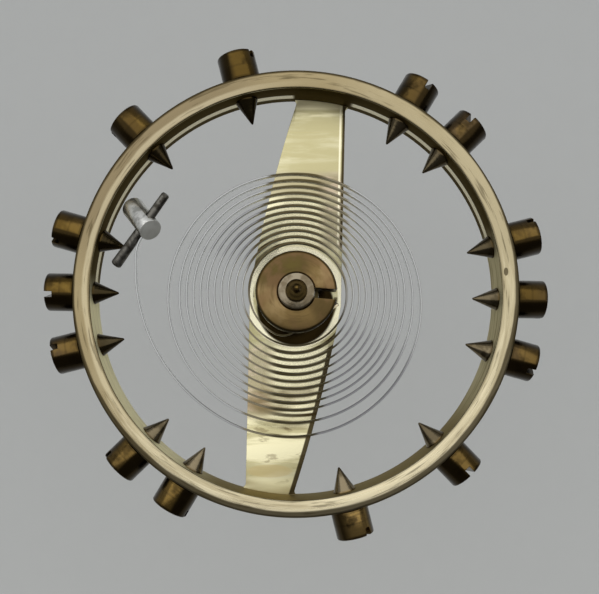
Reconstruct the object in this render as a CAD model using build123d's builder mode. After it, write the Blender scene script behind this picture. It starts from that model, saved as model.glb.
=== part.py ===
from build123d import *
import math
import os

# Screwed balance of a man's wristwatch, complete with staff, rollers, hairspring and stud.
# The staff runs up the Z axis from the end of the lower pivot at the origin. The wheel is seen
# from above, so +Z is the side of the balance cock. Lengths are in millimetres.

# Rim and arm, which are one piece
rim_diameter = 10.0
rim_width = 0.40
rim_height = 1.00
rim_outer_break = 0.06
rim_inner_break = 0.03
arm_thickness = 0.16
arm_waist_width = 2.12
arm_long_flank_offset = 1.17
arm_slant_crossing = 0.12
arm_slant_start = 0.20
arm_slant_sag = 0.085
arm_root_radius = 0.12

# Balance staff, from the lower pivot up
lower_pivot_length = 0.28
upper_pivot_length = 0.28
pivot_diameter = 0.10
pivot_end_round = 0.025
pivot_cone_length = 0.22
roller_post_diameter = 0.56
roller_post_length = 0.65
roller_post_neck_diameter = 0.36
hub_diameter = 1.50
hub_height = 0.30
hub_undercut = 0.10
wheel_seat_diameter = 0.90
rivet_width = 0.09
rivet_height = 0.06
spring_post_shoulder_diameter = 1.00
collet_post_diameter = 0.80
collet_post_proud = 0.05
collet_post_break = 0.05
upper_cone_diameter = 0.46
upper_cone_rise = 0.26

# Rollers and impulse jewel
impulse_roller_diameter = 2.00
impulse_roller_thickness = 0.20
safety_roller_diameter = 1.04
safety_roller_thickness = 0.18
safety_pipe_wall = 0.11
passing_hollow_radius = 0.17
jewel_diameter = 0.30
jewel_flat_depth = 0.10
jewel_centre_radius = 0.72
jewel_drop = 0.44

# Balance screws
screw_head_diameter = 0.86
screw_head_length = 0.65
screw_head_break = 0.035
screw_shank_diameter = 0.52
screw_point_length = 0.56
screw_point_flat = 0.02
screw_slot_width = 0.13
screw_slot_depth = 0.18

# Collet and its pin
collet_diameter = 1.76
collet_height = 0.70
collet_break = 0.06
collet_slot_width = 0.22
collet_hole_wall = 0.09
collet_pin_thick_diameter = 0.20
collet_pin_thin_diameter = 0.17
collet_pin_proud_length = 0.12
collet_pin_sunk_length = 0.08

# Hairspring. Its half turns meet on one line through the staff. The first radius there follows
# the collet, and the last ones are shares of the rim's inner radius.
strip_thickness = 0.04
strip_height = 0.14
strip_rise_over_rim = 0.35
inner_tail_proud_length = 0.01
inner_tail_depth = 0.10
inner_bend_radius = 0.42
first_turn_gap = 0.205
regular_turns = 10
near_last_radius_share = 0.5572
far_last_radius_share = 0.562
loose_turn_radius_shares = (0.624, 0.693)
outlet_rim_gap = 0.80
outlet_sweep = 66.0
outer_bend_radius = 0.65
outer_tail_length = 0.10
outer_tail_depth = 0.10

# Stud and its pin
stud_diameter = 0.50
stud_length = 1.00
stud_hole_depth = 0.22
stud_end_break = 0.03
stud_pin_thick_diameter = 0.24
stud_pin_thin_diameter = 0.18
stud_pin_long_length = 1.15
stud_pin_short_length = 0.80

# Fits
seat_clearance = 0.005
pin_clearance = 0.01
strip_clearance = 0.03
overrun = 0.20

# Angles in degrees, counterclockwise as seen from above
screw_turn = -0.9
half_wheel_screw_angles = (0.0, 15.0, 45.0, 60.0, 105.0, 135.0, 165.0)
screw_slot_step = 37.0
collet_slot_azimuth = -4.6
collet_hole_azimuth = -61.0
jewel_azimuth = -98.0
stud_lean = 51.4
stud_pin_azimuth = 50.8
stud_pin_slope = 15.0
half_turn = 180.0
quarter_turn = 90.0

# Radii and levels that follow from the sizes above
rim_radius = rim_diameter / 2
rim_inner_radius = rim_radius - rim_width
rim_middle_radius = rim_radius - rim_width / 2
hub_level = lower_pivot_length + pivot_cone_length + roller_post_length
arm_level = hub_level + hub_height
arm_top_level = arm_level + arm_thickness
rim_top_level = arm_level + rim_height
screw_level = arm_level + rim_height / 2
strip_level = rim_top_level + strip_rise_over_rim
collet_level = strip_level - collet_height / 2
collet_top_level = collet_level + collet_height
post_top_level = collet_top_level + collet_post_proud
upper_cone_level = post_top_level + upper_cone_rise
upper_pivot_level = upper_cone_level + pivot_cone_length
staff_top_level = upper_pivot_level + upper_pivot_length

# Cross hole of the collet and the spring's place in it, beside the flat of the pin
collet_radius = collet_diameter / 2
collet_hole_diameter = collet_pin_thick_diameter + 2 * pin_clearance
collet_hole_offset = collet_radius - collet_hole_wall - collet_hole_diameter / 2
collet_half_chord = math.sqrt(collet_radius**2 - collet_hole_offset**2)
strip_side_offset = math.sqrt((collet_pin_thick_diameter / 2) ** 2 - (strip_height / 2) ** 2)
strip_offset_in_collet_hole = strip_side_offset - strip_thickness / 2
strip_line_offset = collet_hole_offset + strip_offset_in_collet_hole
inner_tail_length = math.sqrt(collet_radius**2 - strip_line_offset**2) + inner_tail_proud_length
near_first_radius = collet_radius + first_turn_gap
near_last_radius = near_last_radius_share * rim_inner_radius
far_last_radius = far_last_radius_share * rim_inner_radius
outlet_radius = rim_inner_radius - outlet_rim_gap

# Cross hole of the stud: the smallest that goes round its pin and the strip beside it
stud_pin_length = stud_pin_long_length + stud_pin_short_length
stud_pin_taper = (stud_pin_thick_diameter - stud_pin_thin_diameter) / stud_pin_length
stud_pin_radius = (stud_pin_thick_diameter - stud_pin_taper * stud_pin_long_length) / 2
stud_stack_width = 2 * stud_pin_radius + 2 * pin_clearance + strip_thickness
stud_hole_radius = (stud_stack_width**2 + (strip_height / 2) ** 2 - strip_clearance**2) / (
    2 * (stud_stack_width - strip_clearance)
)
stud_pin_offset = stud_hole_radius - stud_pin_radius - pin_clearance


def polar(radius: float, azimuth: float) -> tuple[float, float]:
    """Return the plan position at a radius and an azimuth in degrees."""
    angle = math.radians(azimuth)
    return (radius * math.cos(angle), radius * math.sin(angle))


def shift(point: tuple[float, float], length: float, azimuth: float) -> tuple[float, float]:
    """Return a plan position moved by a length along an azimuth in degrees."""
    step = polar(length, azimuth)
    return (point[0] + step[0], point[1] + step[1])


def save(piece: BuildPart, name: str) -> None:
    """Label a finished piece and write it under its name."""
    piece.part.label = name
    export_step(piece.part, f"parts/{name}.step")
    print(f"{name}: {len(piece.part.solids())} solid, {piece.part.volume:.5f} mm3")


def make_balance_wheel() -> None:
    """Make the plain uncut rim with its tapered arm, bored for the staff and the screws."""
    long_end = (arm_long_flank_offset, rim_middle_radius)
    waist = (arm_waist_width / 2, -arm_slant_start)
    slant_end = (-arm_slant_crossing, -rim_middle_radius)
    outline = (long_end, waist, slant_end)

    with BuildPart() as wheel:
        with BuildSketch(Plane.XY.offset(arm_level)):
            with BuildLine():
                for turn in (0, half_turn):
                    corners = [Vector(*point).rotate(Axis.Z, turn) for point in outline]
                    Line(corners[0], corners[1])
                    SagittaArc(corners[1], corners[2], arm_slant_sag)
                    opposite = Vector(*long_end).rotate(Axis.Z, turn + half_turn)
                    Line(corners[2], opposite)
            make_face()
        extrude(amount=arm_thickness)
        with BuildSketch(Plane.XY.offset(arm_level)):
            Circle(rim_radius)
            Circle(rim_inner_radius, mode=Mode.SUBTRACT)
        extrude(amount=rim_height)
        roots = [
            edge
            for edge in wheel.edges().filter_by(Axis.Z)
            if abs(math.hypot(edge.center().X, edge.center().Y) - rim_inner_radius) < rim_inner_break
            and edge.length < rim_height - arm_thickness / 2
            and edge.center().Z < arm_top_level
        ]
        fillet(roots, arm_root_radius)
        rings = wheel.edges().filter_by(GeomType.CIRCLE).group_by(Axis.Z)[-1].sort_by(SortBy.RADIUS)
        chamfer(rings[-1], rim_outer_break)
        chamfer(rings[0], rim_inner_break)
        with BuildSketch(Plane.XY.offset(arm_level)):
            Circle(wheel_seat_diameter / 2 + seat_clearance)
        extrude(amount=arm_thickness + overrun, both=True, mode=Mode.SUBTRACT)
        for azimuth in screw_azimuths():
            centre = polar(rim_inner_radius - overrun, azimuth)
            with BuildSketch(Plane(origin=(*centre, screw_level), z_dir=(*polar(1, azimuth), 0))):
                Circle(screw_shank_diameter / 2 + seat_clearance)
            extrude(amount=rim_width + 2 * overrun, mode=Mode.SUBTRACT)
    save(wheel, "balance_wheel")


def screw_azimuths() -> list[float]:
    """Return the azimuth of every balance screw, the same on both halves of the rim."""
    return [angle + turn + screw_turn for turn in (0, half_turn) for angle in half_wheel_screw_angles]


def make_balance_screws() -> None:
    """Turn each screw with a slotted head outside the rim and a pointed shank through it."""
    point_radius = rim_inner_radius - screw_point_length
    head_end_radius = rim_radius + screw_head_length
    for index, azimuth in enumerate(screw_azimuths()):
        direction = (*polar(1, azimuth), 0)
        axis = Axis((0, 0, screw_level), direction)
        tangent = (*polar(1, azimuth - quarter_turn), 0)
        with BuildPart() as screw:
            with BuildSketch(Plane(origin=(0, 0, screw_level), x_dir=direction, z_dir=tangent)):
                with BuildLine():
                    Polyline(
                        (point_radius, 0),
                        (point_radius, screw_point_flat),
                        (rim_inner_radius, screw_shank_diameter / 2),
                        (rim_radius, screw_shank_diameter / 2),
                        (rim_radius, screw_head_diameter / 2),
                        (head_end_radius - screw_head_break, screw_head_diameter / 2),
                        (head_end_radius, screw_head_diameter / 2 - screw_head_break),
                        (head_end_radius, 0),
                        close=True,
                    )
                make_face()
            revolve(axis=axis)
            slot_x = Vector(*tangent).rotate(Axis((0, 0, 0), direction), screw_slot_step * index)
            end_centre = (*polar(head_end_radius, azimuth), screw_level)
            end_face = Plane(origin=end_centre, x_dir=slot_x, z_dir=direction)
            with BuildSketch(end_face):
                Rectangle(screw_head_diameter + overrun, screw_slot_width)
            extrude(amount=-screw_slot_depth, mode=Mode.SUBTRACT)
        save(screw, f"balance_screw_{index + 1:02d}")


def make_balance_staff() -> None:
    """Turn the staff with its two pivots, roller post, hub, riveted wheel seat and collet post."""
    cone_level = lower_pivot_length + pivot_cone_length
    pivot_radius = pivot_diameter / 2
    with BuildPart() as staff:
        with BuildSketch(Plane.XZ):
            with BuildLine():
                Polyline(
                    (0, 0),
                    (pivot_radius - pivot_end_round, 0),
                    (pivot_radius, pivot_end_round),
                    (pivot_radius, lower_pivot_length),
                    (roller_post_neck_diameter / 2, cone_level),
                    (roller_post_diameter / 2, cone_level),
                    (roller_post_diameter / 2, hub_level),
                    (hub_diameter / 2 - hub_undercut, hub_level),
                    (hub_diameter / 2, hub_level + hub_undercut),
                    (hub_diameter / 2, arm_level),
                    (wheel_seat_diameter / 2, arm_level),
                    (wheel_seat_diameter / 2, arm_top_level),
                    (wheel_seat_diameter / 2 + rivet_width, arm_top_level),
                    (wheel_seat_diameter / 2, arm_top_level + rivet_height),
                    (spring_post_shoulder_diameter / 2, arm_top_level + rivet_height + rivet_width),
                    (spring_post_shoulder_diameter / 2, collet_level),
                    (collet_post_diameter / 2, collet_level),
                    (collet_post_diameter / 2, post_top_level - collet_post_break),
                    (collet_post_diameter / 2 - collet_post_break, post_top_level),
                    (upper_cone_diameter / 2, post_top_level),
                    (upper_cone_diameter / 2, upper_cone_level),
                    (pivot_radius, upper_pivot_level),
                    (pivot_radius, staff_top_level - pivot_end_round),
                    (pivot_radius - pivot_end_round, staff_top_level),
                    (0, staff_top_level),
                    close=True,
                )
            make_face()
        revolve(axis=Axis.Z)
    save(staff, "balance_staff")


def make_rollers() -> None:
    """Make the impulse roller under the hub and the small safety roller on its pipe below."""
    roller_level = hub_level - impulse_roller_thickness
    bore_radius = roller_post_diameter / 2 + seat_clearance
    with BuildPart() as impulse_roller:
        with BuildSketch(Plane.XY.offset(roller_level)):
            Circle(impulse_roller_diameter / 2)
            Circle(bore_radius, mode=Mode.SUBTRACT)
            with Locations(polar(jewel_centre_radius, jewel_azimuth)):
                add(jewel_section(seat_clearance), mode=Mode.SUBTRACT)
        extrude(amount=impulse_roller_thickness)
    save(impulse_roller, "impulse_roller")

    safety_level = lower_pivot_length + pivot_cone_length
    with BuildPart() as safety_roller:
        with BuildSketch(Plane.XY.offset(safety_level)):
            Circle(safety_roller_diameter / 2)
            with Locations(polar(safety_roller_diameter / 2 + jewel_flat_depth, jewel_azimuth)):
                Circle(passing_hollow_radius, mode=Mode.SUBTRACT)
        extrude(amount=safety_roller_thickness)
        with BuildSketch(Plane.XY.offset(safety_level)):
            Circle(bore_radius + safety_pipe_wall)
        extrude(amount=roller_level - safety_level)
        with BuildSketch(Plane.XY.offset(safety_level)):
            Circle(bore_radius)
        extrude(amount=hub_level, both=True, mode=Mode.SUBTRACT)
    save(safety_roller, "safety_roller")

    with BuildPart() as jewel:
        with BuildSketch(Plane.XY.offset(roller_level - jewel_drop)):
            with Locations(polar(jewel_centre_radius, jewel_azimuth)):
                add(jewel_section(0))
        extrude(amount=impulse_roller_thickness + jewel_drop)
    save(jewel, "impulse_jewel")


def jewel_section(clearance: float) -> Sketch:
    """Return the half-moon section of the impulse jewel, grown by a clearance."""
    radius = jewel_diameter / 2 + clearance
    with BuildSketch(mode=Mode.PRIVATE) as section:
        Circle(radius)
        with Locations(polar(radius - jewel_flat_depth + jewel_diameter, jewel_azimuth)):
            Rectangle(2 * jewel_diameter, 2 * jewel_diameter, rotation=jewel_azimuth, mode=Mode.SUBTRACT)
    return section.sketch


def make_collet() -> None:
    """Make the split collet, drilled across its side for the inner end of the hairspring."""
    foot = polar(collet_hole_offset, collet_hole_azimuth)
    across = (*polar(1, collet_hole_azimuth - quarter_turn), 0)
    with BuildPart() as collet:
        with BuildSketch(Plane.XY.offset(collet_level)):
            Circle(collet_radius)
            Circle(collet_post_diameter / 2 + seat_clearance, mode=Mode.SUBTRACT)
        extrude(amount=collet_height)
        rings = collet.edges().filter_by(GeomType.CIRCLE).group_by(SortBy.RADIUS)[-1]
        chamfer(rings, collet_break)
        slot_way = (*polar(1, collet_slot_azimuth), 0)
        with BuildSketch(Plane(origin=(0, 0, collet_level), x_dir=slot_way)):
            with Locations((collet_radius, 0)):
                Rectangle(collet_diameter, collet_slot_width)
        extrude(amount=collet_height, mode=Mode.SUBTRACT)
        with BuildSketch(Plane(origin=(*foot, strip_level), z_dir=across)):
            Circle(collet_hole_diameter / 2)
        extrude(amount=collet_diameter, both=True, mode=Mode.SUBTRACT)
    save(collet, "collet")

    with BuildPart() as pin:
        half_length = collet_half_chord + collet_pin_proud_length
        back = shift(foot, -half_length, collet_hole_azimuth - quarter_turn)
        pin_length = half_length + collet_half_chord - collet_pin_sunk_length
        outward = (*polar(1, collet_hole_azimuth), 0)
        thick_end = Plane(origin=(*back, strip_level), x_dir=outward, z_dir=across)
        with BuildSketch(thick_end):
            Circle(collet_pin_thick_diameter / 2)
        with BuildSketch(thick_end.offset(pin_length)):
            Circle(collet_pin_thin_diameter / 2)
        loft()
        flat_offset = strip_offset_in_collet_hole - strip_thickness / 2 - pin_clearance
        with BuildSketch(thick_end):
            with Locations((flat_offset + collet_radius, 0)):
                Rectangle(collet_diameter, collet_diameter)
        extrude(amount=pin_length, mode=Mode.SUBTRACT)
    save(pin, "collet_pin")


def spring_route() -> tuple[list[tuple], tuple[float, float]]:
    """Work out the flat spiral from the collet out to the stud.

    Returns the pieces of its middle line, each as a start, middle and end point, where a straight
    piece has no middle point, and the plan position of its outer end.
    """
    tail_azimuth = collet_hole_azimuth - quarter_turn
    foot = polar(strip_line_offset, collet_hole_azimuth)
    start = shift(foot, -inner_tail_depth, tail_azimuth)
    bend_start = shift(foot, inner_tail_length, tail_azimuth)
    route = [(start, None, bend_start)]

    bend_centre = shift(bend_start, -inner_bend_radius, collet_hole_azimuth)
    far_azimuth = math.degrees(math.atan2(bend_centre[1], bend_centre[0]))
    near_azimuth = far_azimuth + half_turn
    far_first_radius = math.hypot(*bend_centre) + inner_bend_radius
    middle = shift(bend_centre, inner_bend_radius, (collet_hole_azimuth + far_azimuth) / 2)
    point = polar(far_first_radius, far_azimuth)
    route.append((bend_start, middle, point))

    far_pitch = (far_last_radius - far_first_radius) / regular_turns
    far_radii = [far_first_radius + far_pitch * turn for turn in range(1, regular_turns + 1)]
    far_radii += [share * rim_inner_radius for share in loose_turn_radius_shares]
    near_pitch = (near_last_radius - near_first_radius) / (len(far_radii) - 1)
    far_radius = far_first_radius
    for turn, next_far_radius in enumerate(far_radii):
        near_radius = near_first_radius + near_pitch * turn
        outward_arc = half_turn_arc(far_radius, near_radius, far_azimuth)
        return_arc = half_turn_arc(near_radius, next_far_radius, near_azimuth)
        route += [outward_arc, return_arc]
        far_radius = next_far_radius

    start = polar(far_radius, far_azimuth)
    centre = shift(start, -outlet_radius, far_azimuth)
    end = shift(centre, outlet_radius, far_azimuth - outlet_sweep)
    route.append((start, shift(centre, outlet_radius, far_azimuth - outlet_sweep / 2), end))

    bend_azimuth = far_azimuth - outlet_sweep
    final_azimuth = stud_pin_azimuth + quarter_turn - 2 * half_turn
    centre = shift(end, -outer_bend_radius, bend_azimuth)
    bend_end = shift(centre, outer_bend_radius, final_azimuth)
    route.append((end, shift(centre, outer_bend_radius, (bend_azimuth + final_azimuth) / 2), bend_end))
    tip = shift(bend_end, outer_tail_length, stud_pin_azimuth)
    route.append((bend_end, None, tip))
    return route, tip


def half_turn_arc(start_radius: float, end_radius: float, azimuth: float) -> tuple:
    """Return a clockwise half turn between two radii on one line through the staff."""
    radius = (start_radius + end_radius) / 2
    centre = polar(start_radius - radius, azimuth)
    start = polar(start_radius, azimuth)
    middle = shift(centre, radius, azimuth - quarter_turn)
    end = polar(end_radius, azimuth + half_turn)
    return (start, middle, end)


def least_gap(route: list[tuple]) -> float:
    """Measure the least gap between neighbouring turns on points of the middle line."""
    samples = []
    steps = 24
    for start, middle, end in route[1:-2]:
        arc = ThreePointArc(start, middle, end)
        samples += [arc @ (step / steps) for step in range(steps)]
    turn_length = 2 * steps
    gaps = []
    for index, point in enumerate(samples):
        for other in samples[index + turn_length - steps // 2:index + turn_length + steps // 2]:
            gaps.append((point - other).length)
    return min(gaps) - strip_thickness


def make_hairspring() -> None:
    """Wind the flat hairspring as one unbroken strip."""
    route, _ = spring_route()
    with BuildPart() as spring:
        with BuildLine(Plane.XY.offset(strip_level)) as path:
            for start, middle, end in route:
                if middle is None:
                    Line(start, end)
                else:
                    ThreePointArc(start, middle, end)
        with BuildSketch(Plane(origin=path.wire() @ 0, x_dir=(0, 0, 1), z_dir=path.wire() % 0)):
            Rectangle(strip_height, strip_thickness)
        sweep(path=path.wire())
    length = path.wire().length
    print(f"hairspring: {length:.2f} mm long, least gap {least_gap(route):.3f} mm")
    print(f"hairspring: section times length {length * strip_thickness * strip_height:.5f} mm3")
    save(spring, "hairspring")


def stud_frame() -> tuple[Vector, Vector, Vector]:
    """Set the stud on the outer end of the strip.

    Returns the centre of the stud's hole, the way of its pin and the way of its upper end. The pin
    lies against the wall of the hole, and the strip beside it on the inner side.
    """
    _, tip = spring_route()
    slope = math.radians(stud_pin_slope)
    pin_way = Vector(*polar(math.cos(slope), stud_pin_azimuth), math.sin(slope))
    inner_side = Vector(*polar(1, stud_pin_azimuth - quarter_turn), 0)
    upright = inner_side.cross(pin_way)
    lean = math.radians(stud_lean)
    upper_way = inner_side * math.sin(lean) + upright * math.cos(lean)

    strip_offset = stud_pin_radius - stud_pin_offset + pin_clearance + strip_thickness / 2
    strip_end = Vector(*tip, strip_level)
    depth = stud_diameter / 2 - outer_tail_depth
    hole_centre = strip_end - inner_side * strip_offset + pin_way * depth
    return hole_centre, pin_way, upper_way


def make_stud() -> None:
    """Make the leaning stud with its cross hole and the taper pin that holds the hairspring."""
    hole_centre, pin_way, upper_way = stud_frame()
    foot = hole_centre - upper_way * (stud_length - stud_hole_depth)
    with BuildPart() as stud:
        with BuildSketch(Plane(origin=foot, z_dir=upper_way)):
            Circle(stud_diameter / 2)
        extrude(amount=stud_length)
        chamfer(stud.edges().filter_by(GeomType.CIRCLE), stud_end_break)
        with BuildSketch(Plane(origin=hole_centre, z_dir=pin_way)):
            Circle(stud_hole_radius)
        extrude(amount=stud_diameter, both=True, mode=Mode.SUBTRACT)
    save(stud, "stud")

    inner_side = Vector(*polar(1, stud_pin_azimuth - quarter_turn), 0)
    pin_end = hole_centre - inner_side * stud_pin_offset - pin_way * stud_pin_long_length
    thick_end = Plane(origin=pin_end, x_dir=inner_side, z_dir=pin_way)
    with BuildPart() as pin:
        with BuildSketch(thick_end):
            Circle(stud_pin_thick_diameter / 2)
        with BuildSketch(thick_end.offset(stud_pin_length)):
            Circle(stud_pin_thin_diameter / 2)
        loft()
    save(pin, "stud_pin")


os.makedirs("parts", exist_ok=True)
make_balance_wheel()
make_balance_screws()
make_balance_staff()
make_rollers()
make_collet()
make_hairspring()
make_stud()
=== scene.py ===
"""Looks of a screwed watch balance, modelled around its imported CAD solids.

The wheel, its screws, the staff with its rollers, the split collet, the flat hairspring and its
stud are modelled in millimetres and placed in metres in the frame of the CAD.
"""

import logging
import math
from dataclasses import dataclass
from enum import Enum

import bpy
from mathutils import Matrix, Vector

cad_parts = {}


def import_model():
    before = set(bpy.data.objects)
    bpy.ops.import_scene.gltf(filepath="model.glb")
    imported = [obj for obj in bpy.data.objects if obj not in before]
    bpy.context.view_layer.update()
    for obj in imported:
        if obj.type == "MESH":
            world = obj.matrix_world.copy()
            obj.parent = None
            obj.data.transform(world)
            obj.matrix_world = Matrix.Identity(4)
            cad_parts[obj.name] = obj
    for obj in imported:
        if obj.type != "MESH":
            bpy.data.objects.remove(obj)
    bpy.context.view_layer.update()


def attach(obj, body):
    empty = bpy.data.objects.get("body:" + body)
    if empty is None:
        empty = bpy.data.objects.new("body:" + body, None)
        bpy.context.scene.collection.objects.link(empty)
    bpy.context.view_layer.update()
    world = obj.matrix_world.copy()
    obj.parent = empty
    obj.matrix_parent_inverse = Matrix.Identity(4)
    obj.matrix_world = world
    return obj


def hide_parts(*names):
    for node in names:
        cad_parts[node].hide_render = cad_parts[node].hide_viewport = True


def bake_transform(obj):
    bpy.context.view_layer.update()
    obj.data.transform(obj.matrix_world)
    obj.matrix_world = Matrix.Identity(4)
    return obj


MM = 0.001
TURNED = "turned"
SMOOTH_ANGLE = 32.0
SOFTENED_ANGLE = 40.0
SHARP_ANGLE = 50.0
SEAM_REACH = 1e-4
WELD_REACH = 2e-4
ROUND_SHARE = 0.3
BLUNT_SHARE = 0.8
ROD_STEPS = 48
LEAST_STEPS = 4
NOISE_ROUGHNESS = 0.55
SEED_WAY = (1.0, 0.7, -1.0)
LOG = logging.getLogger("balance")

Point = tuple[float, float]
Colour = tuple[float, float, float]
Piece = bpy.types.Object
Material = bpy.types.Material
Socket = bpy.types.NodeSocket


class Body(Enum):
    """The two bodies of the part that pieces ride on."""

    BALANCE = "balance"
    STUD = "stud"


class Slot(Enum):
    """The material slots of the record."""

    GILT = "gilt_brass"
    SCREW = "screw_brass"
    BRONZE = "bronze_brass"
    PIN = "pin_brass"
    STEEL = "polished_steel"
    STUD = "stud_steel"
    DARK = "dark_steel"
    SPRING = "spring_alloy"
    RUBY = "ruby"


class Meeting(Enum):
    """The ways in which one shape can meet another."""

    CUT = "DIFFERENCE"
    UNITE = "UNION"


@dataclass(frozen=True)
class Levels:
    """Sizes that several pieces share, in millimetres, with heights above the lower pivot's end."""

    rim_radius: float = 5.0
    rim_inner_radius: float = 4.6
    rim_middle_radius: float = 4.8
    hub: float = 1.15
    arm: float = 1.45
    arm_top: float = 1.61
    screw: float = 1.95
    rim_top: float = 2.45
    strip: float = 2.80
    collet: float = 2.45
    collet_top: float = 3.15
    strip_thickness: float = 0.04
    strip_height: float = 0.14


def polar(radius: float, azimuth: float) -> Point:
    """Give the plan position at a radius and an azimuth in degrees."""
    angle = math.radians(azimuth)
    return (radius * math.cos(angle), radius * math.sin(angle))


def shift(point: Point, length: float, azimuth: float) -> Point:
    """Give a plan position moved by a length along an azimuth in degrees."""
    step = polar(length, azimuth)
    return (point[0] + step[0], point[1] + step[1])


def bearing(start: Point, end: Point) -> float:
    """Give the azimuth in degrees from one plan position to another."""
    return math.degrees(math.atan2(end[1] - start[1], end[0] - start[0]))


def between(start: Point, end: Point, share: float) -> Point:
    """Give the plan position at a share of the way from start to end."""
    return tuple(a + (b - a) * share for a, b in zip(start, end))


def turn_about(axis: str, degrees: float) -> Matrix:
    """Give the matrix of a turn about an axis."""
    return Matrix.Rotation(math.radians(degrees), 4, axis)


def rounded_side(radius: float, low: float, high: float, edge: float) -> list[Point]:
    """Give the corners of a turned side whose two edges are rounded.

    Args:
        radius: Radius of the side.
        low: Height of its foot.
        high: Height of its top.
        edge: Size of the rounding.

    Returns:
        Radius and height of each corner, from the foot up.
    """
    cut = ROUND_SHARE * edge
    foot = [(radius - edge, low), (radius - cut, low + cut), (radius, low + edge)]
    return foot + [(radius, high - edge), (radius - cut, high - cut), (radius - edge, high)]


def bevelled_disc(bore: float, radius: float, low: float, high: float, edge: float) -> list[Point]:
    """Give the section of a bored disc with bevelled edges, without its upper inner corner.

    Args:
        bore: Radius of the bore.
        radius: Radius of the disc.
        low: Height of its foot.
        high: Height of its top.
        edge: Size of the bevels.

    Returns:
        Radius and height of each corner, from the bore outwards and up.
    """
    foot = [(bore, low + edge), (bore + edge, low), (radius - edge, low), (radius, low + edge)]
    return foot + [(radius, high - edge), (radius - edge, high)]


class Shade:
    """A value in a material. Arithmetic on it adds Math nodes."""

    def __init__(self, graph: "Tree", socket: Socket) -> None:
        """Wrap one output socket of the graph."""
        self.graph = graph
        self.socket = socket

    def math(self, operation: str, *others: "Shade | float") -> "Shade":
        """Add one Math node.

        Args:
            operation: The node's operation.
            others: Its second and third values.

        Returns:
            The node's result.
        """
        values = dict(enumerate((self, *others)))
        node = self.graph.add("ShaderNodeMath", {"operation": operation}, values)
        return Shade(self.graph, node.outputs[0])

    def __add__(self, other: "Shade | float") -> "Shade":
        """Add."""
        return self.math("ADD", other)

    __radd__ = __add__

    def __mul__(self, other: "Shade | float") -> "Shade":
        """Multiply."""
        return self.math("MULTIPLY", other)

    __rmul__ = __mul__

    def __sub__(self, other: "Shade | float") -> "Shade":
        """Subtract."""
        return self.math("SUBTRACT", other)

    def __rsub__(self, other: float) -> "Shade":
        """Subtract from a number."""
        return (self * -1.0).math("ADD", other)

    def __truediv__(self, other: "Shade | float") -> "Shade":
        """Divide."""
        return self.math("DIVIDE", other)

    def __abs__(self) -> "Shade":
        """Give the size without the sign."""
        return self.math("ABSOLUTE")

    def most(self, other: "Shade | float") -> "Shade":
        """Give the larger of two values."""
        return self.math("MAXIMUM", other)

    def least(self, other: "Shade | float") -> "Shade":
        """Give the smaller of two values."""
        return self.math("MINIMUM", other)

    def ramp(self, low: float, high: float) -> "Shade":
        """Rise smoothly from 0 to 1.

        Args:
            low: The value at which the result is 0.
            high: The value at which it is 1, which may be the lower one.

        Returns:
            The risen value.
        """
        settings = {"interpolation_type": "SMOOTHSTEP"}
        flipped = high < low
        first, last = (high, low) if flipped else (low, high)
        node = self.graph.add("ShaderNodeMapRange", settings, {0: self, 1: first, 2: last})
        rise = Shade(self.graph, node.outputs[0])
        return 1.0 - rise if flipped else rise

    def band(self, low: float, high: float, soft: float) -> "Shade":
        """Mark the values between two limits, with soft ends."""
        return self.ramp(low - soft, low + soft) * self.ramp(high + soft, high - soft)


class Tree:
    """A tree of nodes, of a material or of the world."""

    def __init__(self, owner: bpy.types.ID) -> None:
        """Start an empty tree.

        Args:
            owner: The material or world that it belongs to.
        """
        owner.use_nodes = True
        self.tree = owner.node_tree
        self.tree.nodes.clear()

    def add(
        self, kind: str, settings: dict | None = None, inputs: dict | None = None
    ) -> bpy.types.Node:
        """Add a node.

        Args:
            kind: The node's type.
            settings: Its own properties, which are set first.
            inputs: Values or links of its sockets, by name or number.

        Returns:
            The new node.
        """
        node = self.tree.nodes.new(kind)
        for name, value in (settings or {}).items():
            setattr(node, name, value)
        for key, value in (inputs or {}).items():
            self.feed(node.inputs[key], value)
        return node

    def feed(self, socket: Socket, value: object) -> None:
        """Link or set a socket.

        Args:
            socket: The input socket.
            value: A shade or an output to link, or the socket's own value.
        """
        source = value.socket if isinstance(value, Shade) else value
        if isinstance(source, Socket):
            self.tree.links.new(source, socket)
        elif isinstance(source, tuple) and len(source) == 3 and socket.type == "RGBA":
            socket.default_value = (*source, 1.0)
        else:
            socket.default_value = source


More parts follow.
